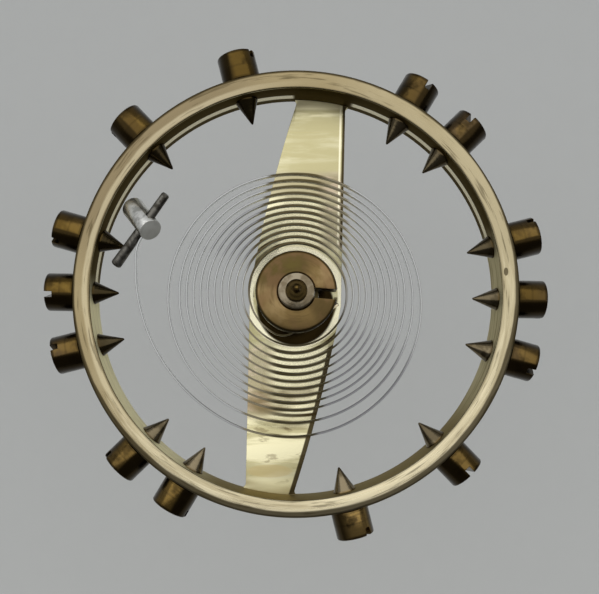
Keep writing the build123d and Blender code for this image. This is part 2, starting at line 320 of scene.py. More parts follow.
class Graph(Tree):
    """The nodes of one material, with the place on the piece in millimetres."""

    def __init__(self, name: str) -> None:
        """Start a material with a principled surface.

        Args:
            name: The material's name.
        """
        self.material = bpy.data.materials.new(name)
        super().__init__(self.material)
        self.surface = self.add("ShaderNodeBsdfPrincipled")
        self.add("ShaderNodeOutputMaterial", inputs={"Surface": self.surface.outputs[0]})
        coordinates = self.add("ShaderNodeTexCoord")
        scaled = self.add(
            "ShaderNodeVectorMath",
            {"operation": "SCALE"},
            {"Vector": coordinates.outputs["Object"], "Scale": 1.0 / MM},
        )
        self.place = scaled.outputs["Vector"]
        self.x, self.y, self.z = self.parts(self.place)
        self.radius = (self.x * self.x + self.y * self.y).math("SQRT")

    def parts(self, vector: Socket) -> tuple[Shade, Shade, Shade]:
        """Split a vector into its three values."""
        node = self.add("ShaderNodeSeparateXYZ", inputs={"Vector": vector})
        return tuple(Shade(self, node.outputs[axis]) for axis in range(3))

    def join(self, *values: Shade | float) -> Socket:
        """Join three values into a vector."""
        return self.add("ShaderNodeCombineXYZ", inputs=dict(enumerate(values))).outputs[0]

    def turned(self) -> tuple[Shade, Shade, Shade]:
        """Give the place on a piece as it was before it was laid in the frame, in millimetres."""
        own = self.add("ShaderNodeAttribute", {"attribute_name": TURNED})
        return self.parts(own.outputs["Vector"])

    def facing(self, azimuth: float) -> Shade:
        """Give how far the place lies towards an azimuth: 1 at it, -1 at the opposite side."""
        way = polar(1.0, azimuth)
        return (self.x * way[0] + self.y * way[1]) / self.radius

    def spot(self, centre: Point, radii: Point, soft: float = 0.07) -> Shade:
        """Mark an oval spot in plan.

        Args:
            centre: Its middle.
            radii: Its half widths along X and Y.
            soft: Width of its soft edge, as a share of its size.

        Returns:
            The mask.
        """
        across = (self.x - centre[0]) / radii[0]
        along = (self.y - centre[1]) / radii[1]
        return (across * across + along * along).ramp(1.0 + soft, 1.0 - soft)

    def noise(
        self,
        scale: float,
        detail: float = 3.0,
        stretch: tuple = (1, 1, 1),
        seed: float = 0.0,
        vector: Socket | None = None,
    ) -> Shade:
        """Give a cloudy value round 0.5.

        Args:
            scale: Clouds per millimetre.
            detail: Finer clouds inside them.
            stretch: Factors on the three axes.
            seed: Shifts the pattern.
            vector: A place of its own, where it isn't the place on the piece.

        Returns:
            The cloud value.
        """
        place = {
            "Vector": vector or self.place,
            "Location": tuple(seed * share for share in SEED_WAY),
            "Scale": stretch,
        }
        mapping = self.add("ShaderNodeMapping", inputs=place)
        values = {"Scale": scale, "Detail": detail, "Roughness": NOISE_ROUGHNESS}
        node = self.add("ShaderNodeTexNoise", inputs={"Vector": mapping.outputs[0], **values})
        return Shade(self, node.outputs[0])

    def turned_noise(
        self, along: float, across: float, detail: float = 3.0, seed: float = 0.0
    ) -> Shade:
        """Give streaks that run round the staff's axis.

        Args:
            along: Clouds round the axis, per radian.
            across: Clouds per millimetre of radius and height.
            detail: Finer clouds inside them.
            seed: Shifts the pattern.

        Returns:
            The streak value, round 0.5.
        """
        depth = (self.radius + self.z) * across
        ring = self.join(self.x / self.radius * along, self.y / self.radius * along, depth)
        return self.noise(1.0, detail, seed=seed, vector=ring)

    def mix(self, mask: Shade, low: object, high: object) -> Socket:
        """Mix two colours, the first where the mask is 0."""
        node = self.add("ShaderNodeMix", {"data_type": "RGBA"}, {0: mask, 6: low, 7: high})
        return node.outputs[2]

    def bump(self, height: Shade, depth: float) -> None:
        """Raise the surface where a value is high.

        Args:
            height: The value, from 0 to about 1.
            depth: How far it raises the surface, in millimetres.
        """
        inputs = {"Height": height, "Distance": depth * MM, "Strength": 1.0}
        node = self.add("ShaderNodeBump", inputs=inputs)
        self.feed(self.surface.inputs["Normal"], node.outputs[0])

    def layer(self, base: object, *coats: tuple[Shade, object]) -> Socket:
        """Lay coats over a base, one after another.

        Args:
            base: The colour at the bottom.
            coats: A mask and a colour for each coat.

        Returns:
            The colour on top.
        """
        for mask, colour in coats:
            base = self.mix(mask, base, colour)
        return base

    def dress(self, **sockets: object) -> Material:
        """Set several sockets of the surface.

        Args:
            sockets: Values by the sockets' names, with spaces as underscores.

        Returns:
            The material.
        """
        for name, value in sockets.items():
            self.feed(self.surface.inputs[name.replace("_", " ")], value)
        return self.material


class Bench:
    """Modelling steps that the pieces share. They work in millimetres."""

    @staticmethod
    def clear() -> None:
        """Leave edit mode and select nothing."""
        if bpy.context.object is not None and bpy.context.object.mode != "OBJECT":
            bpy.ops.object.mode_set(mode="OBJECT")
        bpy.ops.object.select_all(action="DESELECT")

    @staticmethod
    def take(name: str) -> Piece:
        """Name the primitive that was just added.

        Args:
            name: Its name, which its mesh gets too.

        Returns:
            The primitive.
        """
        piece = bpy.context.object
        piece.name = piece.data.name = name
        return piece

    @staticmethod
    def only(piece: Piece) -> None:
        """Make one piece the active and only selected one.

        Args:
            piece: The piece.
        """
        Bench.clear()
        piece.select_set(True)
        bpy.context.view_layer.objects.active = piece

    @staticmethod
    def edit() -> None:
        """Enter edit mode with everything selected."""
        bpy.ops.object.mode_set(mode="EDIT")
        bpy.ops.mesh.select_all(action="SELECT")

    @staticmethod
    def face_outwards() -> None:
        """Turn all faces of the piece in edit mode outwards and leave edit mode."""
        bpy.ops.mesh.select_all(action="SELECT")
        bpy.ops.mesh.normals_make_consistent(inside=False)
        bpy.ops.object.mode_set(mode="OBJECT")

    @staticmethod
    def turn(name: str, stations: list[Point], segments: int) -> Piece:
        """Turn a solid round piece by extruding and scaling a disc.

        Args:
            name: The piece's name.
            stations: Radius and height of each corner, from the foot up.
            segments: Faces round the axis.

        Returns:
            The piece, with its axis on Z.
        """
        Bench.clear()
        radius, level = stations[0]
        bpy.ops.mesh.primitive_circle_add(
            vertices=segments, radius=radius, fill_type="NGON", location=(0, 0, level)
        )
        piece = Bench.take(name)
        bpy.ops.object.transform_apply(location=True, rotation=False, scale=False)
        Bench.edit()
        for next_radius, next_level in stations[1:]:
            rise = (0, 0, next_level - level)
            bpy.ops.mesh.extrude_region_move(TRANSFORM_OT_translate={"value": rise})
            ratio = next_radius / radius
            bpy.ops.transform.resize(value=(ratio, ratio, 1), center_override=(0, 0, next_level))
            radius, level = next_radius, next_level
        Bench.face_outwards()
        return piece

    @staticmethod
    def rod(name: str, radius: float, reach: Point, segments: int = ROD_STEPS) -> Piece:
        """Turn a plain rod on the Z axis, between two heights."""
        return Bench.turn(name, [(radius, level) for level in reach], segments)

    @staticmethod
    def outline(name: str, places: list, fill: str) -> Piece:
        """Lay a closed line of points, and leave it in edit mode.

        Args:
            name: The piece's name.
            places: Place of each point, in order.
            fill: How the line is filled.

        Returns:
            The line as a piece.
        """
        Bench.clear()
        bpy.ops.mesh.primitive_circle_add(vertices=len(places), radius=1, fill_type=fill)
        piece = Bench.take(name)
        for vertex, place in zip(piece.data.vertices, places):
            vertex.co = place
        Bench.edit()
        return piece

    @staticmethod
    def ring(name: str, section: list[Point], segments: int) -> Piece:
        """Spin a closed section round the Z axis.

        Args:
            name: The piece's name.
            section: Radius and height of each corner, in order.
            segments: Steps of the spin.

        Returns:
            The ring.
        """
        piece = Bench.outline(name, [(radius, 0, level) for radius, level in section], "NOTHING")
        bpy.ops.mesh.spin(steps=segments, angle=math.tau, center=(0, 0, 0), axis=(0, 0, 1))
        bpy.ops.mesh.select_all(action="SELECT")
        bpy.ops.mesh.remove_doubles(threshold=SEAM_REACH)
        Bench.face_outwards()
        return piece

    @staticmethod
    def slab(name: str, outline: list[Point], level: float, thickness: float) -> Piece:
        """Raise a plate from an outline.

        Args:
            name: The piece's name.
            outline: Plan position of each corner, in order.
            level: Height of the underside.
            thickness: Height of the plate.

        Returns:
            The plate.
        """
        piece = Bench.outline(name, [(*point, level) for point in outline], "NGON")
        bpy.ops.mesh.extrude_region_move(TRANSFORM_OT_translate={"value": (0, 0, thickness)})
        Bench.face_outwards()
        return piece

    @staticmethod
    def block(name: str, size: tuple, matrix: Matrix) -> Piece:
        """Add a box for cutting slots.

        Args:
            name: The box's name.
            size: Its lengths on the three axes.
            matrix: Its place.

        Returns:
            The box.
        """
        Bench.clear()
        bpy.ops.mesh.primitive_cube_add(size=1)
        piece = Bench.take(name)
        piece.data.transform(matrix @ Matrix.Diagonal((*size, 1)))
        return piece

    @staticmethod
    def taper_pin(name: str, radii: Point, reach: Point, lead: float) -> Piece:
        """Turn a taper pin on the Z axis.

        Args:
            name: The pin's name.
            radii: Radius at its thick lower and its thin upper end.
            reach: Lengths below and above the origin.
            lead: Length of the blunted ends.

        Returns:
            The pin.
        """
        (thick, thin), (back, front) = radii, reach
        stations = [(thick * BLUNT_SHARE, -back), (thick, -back + lead)]
        stations += [(thin, front - lead), (thin * BLUNT_SHARE, front)]
        return Bench.turn(name, stations, ROD_STEPS)

    @staticmethod
    def flatten(piece: Piece, distance: float) -> None:
        """Cut off what lies beyond a distance along X, and close the flat.

        Args:
            piece: The piece.
            distance: Where on the X axis the flat lies.
        """
        Bench.only(piece)
        Bench.edit()
        bpy.ops.mesh.bisect(
            plane_co=(distance, 0, 0), plane_no=(1, 0, 0), use_fill=True, clear_outer=True
        )
        Bench.face_outwards()

    @staticmethod
    def apply(piece: Piece, kind: str, **settings: object) -> None:
        """Add a modifier to a piece and apply it.

        Args:
            piece: The piece.
            kind: The modifier's type.
            settings: Its properties.
        """
        Bench.only(piece)
        modifier = piece.modifiers.new(kind.lower(), kind)
        for name, value in settings.items():
            setattr(modifier, name, value)
        bpy.ops.object.modifier_apply(modifier=modifier.name)

    @staticmethod
    def meet(piece: Piece, tool: Piece, meeting: Meeting = Meeting.CUT) -> None:
        """Cut a tool's shape out of a piece, or unite the two, and throw the tool away."""
        Bench.apply(piece, "BOOLEAN", operation=meeting.value, solver="EXACT", object=tool)
        bpy.data.objects.remove(tool)

    @staticmethod
    def soften(
        piece: Piece, width: float, segments: int, angle: float = SOFTENED_ANGLE
    ) -> None:
        """Round the sharp edges of a piece.

        Args:
            piece: The piece.
            width: Width of the rounding, in millimetres.
            segments: Faces across it.
            angle: The least angle of an edge that is rounded, in degrees.
        """
        Bench.apply(
            piece,
            "BEVEL",
            width=width,
            segments=segments,
            limit_method="ANGLE",
            angle_limit=math.radians(angle),
            use_clamp_overlap=True,
            harden_normals=False,
        )

    @staticmethod
    def weld(piece: Piece) -> None:
        """Weld the points of a piece that lie on each other.

        Args:
            piece: The piece.
        """
        Bench.only(piece)
        Bench.edit()
        bpy.ops.mesh.remove_doubles(threshold=WELD_REACH)
        bpy.ops.mesh.dissolve_degenerate(threshold=WELD_REACH)
        Bench.face_outwards()

    @staticmethod
    def copy(piece: Piece, name: str, matrix: Matrix) -> Piece:
        """Copy a piece.

        Args:
            piece: The piece to copy.
            name: The copy's name.
            matrix: How the copy is moved.

        Returns:
            The copy, with a mesh of its own.
        """
        twin = piece.copy()
        twin.data = piece.data.copy()
        twin.name = twin.data.name = name
        twin.data.transform(matrix)
        bpy.context.scene.collection.objects.link(twin)
        return twin

    @staticmethod
    def keep_turned(piece: Piece) -> None:
        """Keep the present place of each point, for finishes that follow the lathe.

        Args:
            piece: The piece, before it is laid in the frame.
        """
        own = piece.data.attributes.new(TURNED, "FLOAT_VECTOR", "POINT")
        for vertex, value in zip(piece.data.vertices, own.data):
            value.vector = vertex.co

    @staticmethod
    def finish(piece: Piece, material: Material) -> None:
        """Smooth a piece, scale it from millimetres to metres and dress it.

        Args:
            piece: The piece.
            material: Its finish.
        """
        Bench.only(piece)
        bpy.ops.object.shade_smooth_by_angle(angle=math.radians(SMOOTH_ANGLE))
        piece.data.transform(Matrix.Scale(MM, 4))
        piece.data.materials.clear()
        piece.data.materials.append(material)

    @staticmethod
    def hand_over(piece: Piece, material: Material, slot: Slot, node: str) -> None:
        """Finish a rigid piece and let it ride for its CAD node.

        Args:
            piece: The piece, in millimetres.
            material: Its finish.
            slot: The record's material slot; not used.
            node: The CAD node that it stands for.
        """
        Bench.finish(piece, material)
        body = Body.STUD if node in ("stud", "stud_pin") else Body.BALANCE
        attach(piece, body.value)
        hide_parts(node)
        LOG.info("%s: %d faces, on %s", piece.name, len(piece.data.polygons), body.value)


@dataclass(frozen=True)
class ArmFlanks:
    """The flanks of each half of the arm in plan, in millimetres: a long and a slanted one."""

    long_offset: float = 1.064
    long_slope: float = 0.022
    slant_offset: float = 1.06
    slant_slope: float = 0.2565
    slant_start: float = 0.20
    bow_middle: float = 2.3
    bow_sag: float = 0.0877

    def margins(self, graph: Graph) -> tuple[Shade, Shade]:
        """Measure how far a place lies inside the flanks.

        Args:
            graph: The material's nodes.

        Returns:
            Its distances from the long flank and from the slanted one.
        """
        out = abs(graph.y)
        across = graph.x * graph.y.math("SIGN")
        slope = (out - self.slant_start).most(0.0)
        bow = slope / self.bow_middle - 1.0
        slanted = self.slant_offset - slope * self.slant_slope + (1.0 - bow * bow) * self.bow_sag
        return self.long_offset + out * self.long_slope - across, slanted + across


@dataclass(frozen=True)
class PaintedCoilReflections:
    """Dark rings painted on one half of the arm under the turns over it, as painted reflection and
    shadow of the turns, at their pitch, in millimetres.
    """

    centre: Point
    start: float
    pitch: float
    reach: float
    loose: tuple = ()
    gap_shares: Point = (0.17, 0.31)
    fade: float = 0.03
    half_width: float = 0.04
    soft: float = 0.02

    def mask(self, graph: Graph) -> Shade:
        """Mark the painted rings, which grow by one pitch in each turn, and the loose ones beyond
        them.

        Args:
            graph: The material's nodes.

        Returns:
            The mask.
        """
        across, along = graph.x - self.centre[0], graph.y - self.centre[1]
        radius = (across * across + along * along).math("SQRT")
        turn = (radius - self.start) / self.pitch + along.math("ARCTAN2", across) / math.tau
        rings = abs(turn.math("FRACT") - 0.5).ramp(*self.gap_shares)
        rings = rings * radius.ramp(self.reach + self.fade, self.reach - self.fade)
        for ring in self.loose:
            rings = rings + radius.band(ring - self.half_width, ring + self.half_width, self.soft)
        return rings


@dataclass(frozen=True)
class GiltBrass:
    """The gilt of the wheel, with wear: satin rim, brighter arm, and the rim's inner wall, with
    painted light and shade on all three.
    """

    satin: Colour = (0.41, 0.35, 0.215)
    # tan and umber also serve as painted shade, pale as painted light
    tan: Colour = (0.30, 0.24, 0.13)
    umber: Colour = (0.205, 0.160, 0.092)
    pale: Colour = (0.68, 0.60, 0.40)
    arm: Colour = (0.46, 0.415, 0.225)
    arm_light: Colour = (0.60, 0.56, 0.36)
    arm_pale: Colour = (0.86, 0.80, 0.52)
    gold: Colour = (0.50, 0.38, 0.165)
    arm_dull: Colour = (0.40, 0.35, 0.22)
    arm_brown: Colour = (0.15, 0.105, 0.045)
    arm_rosy: Colour = (0.66, 0.54, 0.40)
    # colours of the painted reflection and shadow of the turns on the arm
    north_painted_reflection: Colour = (0.095, 0.072, 0.030)
    south_painted_reflection: Colour = (0.045, 0.030, 0.010)
    # painted shadow of the collet on the arm
    painted_collet_shadow: Colour = (0.016, 0.010, 0.003)
    # colour of the painted highlight and the painted light round the hub
    painted_highlight_cream: Colour = (0.93, 0.87, 0.63)
    # painted shade of the northern inner wall
    dark_and_painted_shade: Colour = (0.045, 0.029, 0.007)
    olive: Colour = (0.25, 0.20, 0.095)
    # straw: painted light on the western and eastern inner wall, and paler zones of the arm
    straw: Colour = (0.95, 0.90, 0.62)
    stripe: Colour = (0.98, 0.95, 0.80)
    # dark colour of the rim's veins and nick, and of painted shade on the rim's outer edge and the
    # arm's flanks
    stain_and_painted_shade: Colour = (0.045, 0.032, 0.012)
    grazing: Colour = (0.88, 0.80, 0.62)
    # painted reflection and shadow of the turns on each half of the arm
    north_painted_coil_reflections: PaintedCoilReflections = PaintedCoilReflections((-0.0175, 0.0975), 1.2032, 0.1459, 2.83)
    south_painted_coil_reflections: PaintedCoilReflections = PaintedCoilReflections((-0.0093, 0.0226), 1.1137, 0.1666, 2.72, (2.78, 2.95, 3.28))

    def make(self, levels: Levels) -> Material:
        """Build the material.

        Args:
            levels: Shared sizes.

        Returns:
            The material.
        """
        graph = Graph("gilt_brass_finish")
        inner = levels.rim_inner_radius
        streaks = graph.turned_noise(3.0, 9.0, 4.0, 2.0)
        fine = graph.turned_noise(1.2, 60.0, 2.0, 1.0)
        wipes = graph.noise(1.0, 4.0, (0.5, 3.0, 1.0), 3.0)
        height = (graph.z - levels.arm) / (levels.rim_top - levels.arm)
        face = graph.z.ramp(levels.arm_top - 0.022, levels.arm_top - 0.008)
        north = graph.facing(97.0).ramp(0.06, 0.24)
        on_arm = graph.radius.ramp(inner + 0.005, inner - 0.005)
        wall = graph.radius.ramp(inner + 0.006, inner + 0.002)
        wall = wall * graph.radius.ramp(inner - 0.008, inner - 0.004) * height.ramp(0.965, 0.955)
        # a pale stripe low on the northern inner wall, clear of the arm's root
        stripe = height.band(0.25, 0.46, 0.02) * north * (1.0 - graph.x.band(-0.05, 1.30, 0.05))
        colour, edge = self.dress_rim(graph, levels, streaks)
        colour = graph.layer(
            colour,
            (on_arm, self.dress_arm(graph, wipes, face)),
            (wall, self.dress_wall(graph, north, streaks, stripe)),
        )

        rough_arm = 0.10 + 0.05 * wipes.ramp(0.50, 0.66) + 0.22 * abs(graph.y).ramp(3.3, 4.1)
        rough_arm = rough_arm + 0.12 * graph.radius.ramp(3.3, 2.9)
        rough_rim = 0.20 + 0.14 * streaks + wall * (0.30 - 0.35 * stripe) + edge * 0.2
        rough = rough_arm * on_arm * (1.0 - wall) + rough_rim * (1.0 - on_arm * (1.0 - wall))
        graph.bump((fine * 0.5 + streaks) * (1.0 - on_arm) + wipes * on_arm * 0.5, 0.004)
        graph.dress(Metallic=1.0, Specular_Tint=self.grazing)
        return graph.dress(Base_Color=colour, Roughness=rough)

    def dress_rim(self, graph: Graph, levels: Levels, streaks: Shade) -> tuple[Socket, Shade]:
        """Colour the rim: tan with painted shade to the north-west, pale with painted light to the
        south-east and along the western inner edge, dark at its edges.

        Args:
            graph: The material's nodes.
            levels: Shared sizes.
            streaks: Streaks round the rim.

        Returns:
            The colour, and the mask of the outer edge with its painted shade.
        """
        inner, outer, top = levels.rim_inner_radius, levels.rim_radius, levels.rim_top
        clouds = graph.turned_noise(3.5, 1.5, 3.0, 5.0)
        veins = graph.turned_noise(5.0, 16.0, 3.0, 8.0)
        drift = clouds - 0.5
        inner_pale = (graph.radius + drift * 0.12).band(inner + 0.03, inner + 0.15, 0.03)
        colour = graph.layer(
            self.satin,
            # tan and umber to the north-west are real tint and painted shade; pale to the
            # south-east and on the western inner edge is painted light
            ((graph.facing(140.0) + clouds * 1.4 - 0.7).ramp(-0.35, 0.75), self.tan),
            (graph.facing(135.0).ramp(0.72, 0.95) * 0.8, self.umber),
            ((graph.facing(290.0) + streaks * 2.4 - 1.2).ramp(0.20, 1.15), self.pale),
            (inner_pale * graph.facing(165.0).ramp(0.1, 0.7) * 0.40, self.pale),
            (veins.ramp(0.55, 0.68) * 0.55, self.stain_and_painted_shade),
        )
        # painted shade on the rounded outer edge, wider towards the south-south-east
        reach = graph.radius + graph.facing(285.0).ramp(-0.3, 0.7) * 0.08 + drift * 0.06
        depth = 0.25 + 0.30 * clouds.ramp(0.45, 0.60) + 0.75 * graph.z.ramp(top - 0.11, top - 0.06)
        edge = reach.ramp(outer - 0.085, outer - 0.045) * depth.least(1.0)
        # darker along the inner edge
        inside = (graph.radius + drift * 0.06).ramp(inner + 0.05, inner + 0.02)
        nick = graph.spot((4.68, 0.50), (0.05, 0.09))
        return graph.mix(edge * 0.85 + nick * 0.8 + inside * 0.45, colour, self.stain_and_painted_shade), edge

    def dress_arm(self, graph: Graph, wipes: Shade, face: Shade) -> Socket:
        """Colour the arm: cloudy gilt in paler and duller zones, with painted reflections and
        shadows of the turns and painted light at its ends.

        Args:
            graph: The material's nodes.
            wipes: Cloudy wipe marks across the arm.
            face: Mask of its upper face.

        Returns:
            The colour.
        """
        x, y = graph.x, graph.y
        cloudy = wipes.ramp(0.40, 0.56)
        mottled = graph.noise(2.5, 4.0, (0.7, 1.6, 1.0), 6.0)
        inner = y.band(-2.75, -1.2, 0.12) + y.band(1.1, 2.3, 0.25)
        # painted light: the arm is painted paler near both ends, where the rim shades it
        outer = y.band(-3.93, -2.75, 0.12) + y.band(4.15, 4.65, 0.1)
        ends = y.band(4.38, 4.65, 0.05) + y.band(-4.60, -4.20, 0.08) * 0.5
        pale = inner * (0.8 + 0.2 * cloudy) + outer * (0.10 + 0.65 * cloudy) + ends
        north_left, south_right = x.ramp(0.80, 0.45), x.ramp(-0.80, -0.40)
        north_zone, south_zone = y.band(1.15, 2.85, 0.12), y.band(-2.8, -1.15, 0.12)
        shiny = south_zone * south_right * 0.8 + north_zone * north_left * y.ramp(2.5, 2.1) * 0.5
        dull = north_zone * (1.0 - north_left) + south_zone * (1.0 - south_right)
        blob = graph.spot((-0.60, -4.05), (0.52, 0.15), 0.25) * 0.45
        # painted reflection and shadow of the turns on the arm's upper face
        north_painted_rings = self.north_painted_coil_reflections.mask(graph) * north_left * y.ramp(-0.01, 0.01) * face
        south_painted_rings = self.south_painted_coil_reflections.mask(graph) * south_right * y.ramp(0.01, -0.01) * face
        colour = graph.layer(
            self.arm,
            (wipes.ramp(0.42, 0.66), self.arm_light),
            (pale.least(1.0), self.arm_pale),
            (shiny, self.straw),
            ((dull + y.band(2.32, 2.92, 0.08) * 0.8) * 0.85, self.arm_dull),
            (dull * mottled.ramp(0.47, 0.60) * 0.8, self.arm_rosy),
            (self.brown_spots(graph, cloudy, mottled) * 0.85, self.arm_brown),
            (blob + y.band(-2.75, -1.9, 0.25) * 0.15, self.gold),
            (north_painted_rings * (1.0 - 0.25 * cloudy), self.north_painted_reflection),
            (south_painted_rings * (1.0 - 0.20 * cloudy), self.south_painted_reflection),
        )
        return self.dress_arm_edges(graph, colour, face)

    def brown_spots(self, graph: Graph, cloudy: Shade, mottled: Shade) -> Shade:
        """Mark the arm's brown spots and smears.

        Args:
            graph: The material's nodes.
            cloudy: Mask of the arm's clouds.
            mottled: Mottling of the arm.

        Returns:
            The mask.
        """
        smears = mottled.ramp(0.56, 0.64) * graph.y.band(-4.3, -2.75, 0.12)
        large = graph.spot((-0.62, -2.44), (0.56, 0.28), 0.7) * (0.35 + 0.65 * cloudy)
        brown = large + smears * 0.55 + graph.spot((0.05, -2.22), (0.42, 0.14), 0.6) * 0.5
        brown = brown + graph.spot((0.0, -3.02), (0.40, 0.08), 0.5) * 0.35
        return brown + graph.y.band(2.46, 2.82, 0.05) * graph.x.ramp(0.30, 0.60) * 0.35

    def dress_arm_edges(self, graph: Graph, colour: Socket, face: Shade) -> Socket:
        """Paint shade along the arm's eastern flanks, a highlight inside the northern long flank,
        light round the hub and the collet's shadow under it.

        Args:
            graph: The material's nodes.
            colour: The arm's colour so far.
            face: Mask of its upper face.

        Returns:
            The colour.
        """
        south = graph.y.ramp(0.01, -0.01)
        long_side, slant_side = ArmFlanks().margins(graph)
        inside = long_side * (1.0 - south) + slant_side * south
        inside = inside - 0.055 - 0.05 * graph.y.ramp(-0.2, -1.2)
        outer_part = abs(graph.y).ramp(1.0, 1.3)
        # painted shade: a dark line along the arm's eastern flanks
        line = inside.ramp(0.02, -0.01) * outer_part * (0.35 + 0.65 * face)
        # painted highlight: a pale line just inside the northern long flank
        glint = inside.band(0.03, 0.07, 0.012) * outer_part * (1.0 - south) * 0.8
        return graph.layer(
            colour,
            # painted light: a pale ring round the hub, against the collet's shade
            (graph.radius.band(0.99, 1.18, 0.03), self.painted_highlight_cream),
            (glint, self.painted_highlight_cream),
            # painted shade along the eastern flanks
            (line * 0.97, self.stain_and_painted_shade),
            # painted shadow of the collet on the arm's upper face, also seen through the collet's
            # slot
            (graph.spot((0.0, -0.22), (0.90, 0.91)) * face, self.painted_collet_shadow),
        )

    def dress_wall(self, graph: Graph, north: Shade, streaks: Shade, stripe: Shade) -> Socket:
        """Colour the rim's inner wall: painted shade to the north, painted light to the west and
        east, and a pale stripe low down on its northern half.

        Args:
            graph: The material's nodes.
            north: Mask of the northern half.
            streaks: Streaks round the rim.
            stripe: Mask of the pale stripe.

        Returns:
            The colour.
        """
        # painted light on the western and eastern walls; painted shade on the northern one below
        west = graph.facing(200.0).ramp(0.66, 0.88)
        east = graph.facing(355.0).ramp(0.80, 0.97) * 0.45
        return graph.layer(
            self.olive,
            (west + east, self.straw),
            (streaks.ramp(0.50, 0.62) * (0.6 - 0.4 * west), self.olive),
            (north, self.dark_and_painted_shade),
            (stripe, self.stripe),
        )


@dataclass(frozen=True)
class ScrewBrass:
    """The brass of the screws, turned, darker in tone, with dark ends and shoulders: painted shade
    on their ends, shoulders, sides and the southern halves of the eastern and western heads, and
    painted light on the southern screws.
    """

    golden: Colour = (0.092, 0.057, 0.014)
    rosy: Colour = (0.090, 0.060, 0.027)
    # painted light on the southern screws
    painted_lit_gold: Colour = (0.38, 0.25, 0.085)
    glow: Colour = (0.30, 0.19, 0.045)
    # dark tone in clouds and rings, and painted shade on the heads
    dark_and_painted_shade: Colour = (0.024, 0.016, 0.006)
    point: Colour = (0.055, 0.043, 0.021)
    paler_point: Colour = (0.21, 0.17, 0.105)

    def make(self, levels: Levels) -> Material:
        """Build the material.

        Args:
            levels: Shared sizes.

        Returns:
            The material.
        """
        graph = Graph("screw_brass_finish")
        inner, outer = levels.rim_inner_radius, levels.rim_radius
        along, side, height = graph.turned()
        each = graph.noise(0.35, 1.0, seed=4.0)
        clouds = graph.noise(2.4, 4.0, seed=9.0)
        patch = graph.noise(1.6, 3.0, seed=12.0)
        rings = graph.noise(1.0, 3.0, seed=2.0, vector=graph.join(0.0, 0.0, along * 22.0))

        north = graph.facing(100.0).ramp(0.6, 0.95)
        # painted light: the southern screws are painted brighter
        painted_light_south = graph.facing(282.0).ramp(0.92, 0.99) * 0.7
        painted_light_south = painted_light_south + graph.facing(268.0).ramp(0.35, 0.85) * 0.3
        # painted shade on the heads' outer ends and where they meet the rim
        end = along.ramp(outer + 0.56, outer + 0.60)
        shoulder = along.ramp(outer + 0.08, outer + 0.03)
        # painted shade on the heads' sides and undersides
        flank = (side * side).ramp(0.055, 0.14) + height.ramp(0.14, 0.04)
        # painted shade on the southern half of the eastern and western heads
        shade = (side * graph.facing(0.0) * -1.0).ramp(0.015, 0.06)
        point = along.ramp(inner + 0.02, inner - 0.06)
        # the points are paler towards the south-south-east and on the north-eastern screws
        paler_by_side = graph.facing(288.0).ramp(-0.45, 0.8) * (0.5 + 0.5 * clouds.ramp(0.42, 0.54))
        paler_by_side = paler_by_side.most(graph.facing(52.0).ramp(0.75, 0.97) * 0.5)
        # all the painted shade of the heads
        tone = (flank * 0.85).most(end * 0.75 + shoulder * 0.5).most(shade * 0.92)
        colour = graph.layer(
            self.golden,
            (each.ramp(0.42, 0.58) * (1.0 - north), self.rosy),
            (painted_light_south, self.painted_lit_gold),
            (patch.ramp(0.50, 0.62) * 0.25, self.glow),
            (clouds.ramp(0.50, 0.66) * 0.7 + rings.ramp(0.58, 0.70) * 0.3, self.dark_and_painted_shade),
            (point, graph.mix(paler_by_side, self.point, self.paler_point)),
            (tone * (1.0 - point * paler_by_side), self.dark_and_painted_shade),
        )
        graph.bump(rings * 0.8 + clouds * 0.4, 0.003)
        return graph.dress(Base_Color=colour, Roughness=0.14 + 0.16 * rings, Metallic=1.0)


@dataclass(frozen=True)
class ColletBronze:
    """The bronze tone of the collet, blotched on top and dark on its edges and sides, with painted
    light to the west and east and painted shade to the north-west and south-east.
    """

    light: Colour = (0.27, 0.190, 0.087)
    middle: Colour = (0.165, 0.110, 0.042)
    dark: Colour = (0.084, 0.057, 0.022)
    edge: Colour = (0.034, 0.023, 0.007)
    rosy: Colour = (0.185, 0.108, 0.054)
    olive: Colour = (0.105, 0.080, 0.024)

    def make(self, levels: Levels) -> Material:
        """Build the material.

        Args:
            levels: Shared sizes.

        Returns:
            The material.
        """
        graph = Graph("bronze_brass_finish")
        top = levels.collet_top
        blotches = graph.noise(1.5, 4.0, seed=2.6)
        tint = graph.noise(2.0, 3.0, seed=3.3)
        rings = graph.turned_noise(1.4, 16.0, 3.0, 7.0)
        swing = (blotches - 0.5) * 1.6
        # painted light on the western and eastern sides, swung by the blotches
        west = (graph.facing(188.0) + swing).ramp(0.60, 1.05)
        east = (graph.facing(17.0) + swing).ramp(0.72, 1.05)
        # painted shade to the south-east and north-west
        shaded = graph.facing(335.0).ramp(0.80, 0.97) * 0.8 + graph.facing(138.0).ramp(0.75, 0.97)
        edge = graph.radius.ramp(0.81, 0.84).most(graph.z.ramp(top - 0.02, top - 0.05))
        colour = graph.layer(
            self.middle,
            # painted shade over the north-western half
            ((graph.facing(125.0) + swing).ramp(0.1, 0.9), self.dark),
            (west + east, self.light),
            (shaded, self.dark),
            (tint.ramp(0.45, 0.65) * 0.5, self.rosy),
            (graph.facing(118.0).ramp(0.55, 0.95) * tint.ramp(0.62, 0.42) * 0.8, self.olive),
            (rings.ramp(0.50, 0.66) * 0.35, self.dark),
            (edge * 0.9, self.edge),
        )
        graph.bump(rings + blotches * 0.3, 0.003)
        return graph.dress(Base_Color=colour, Roughness=0.27 + 0.12 * rings, Metallic=1.0)


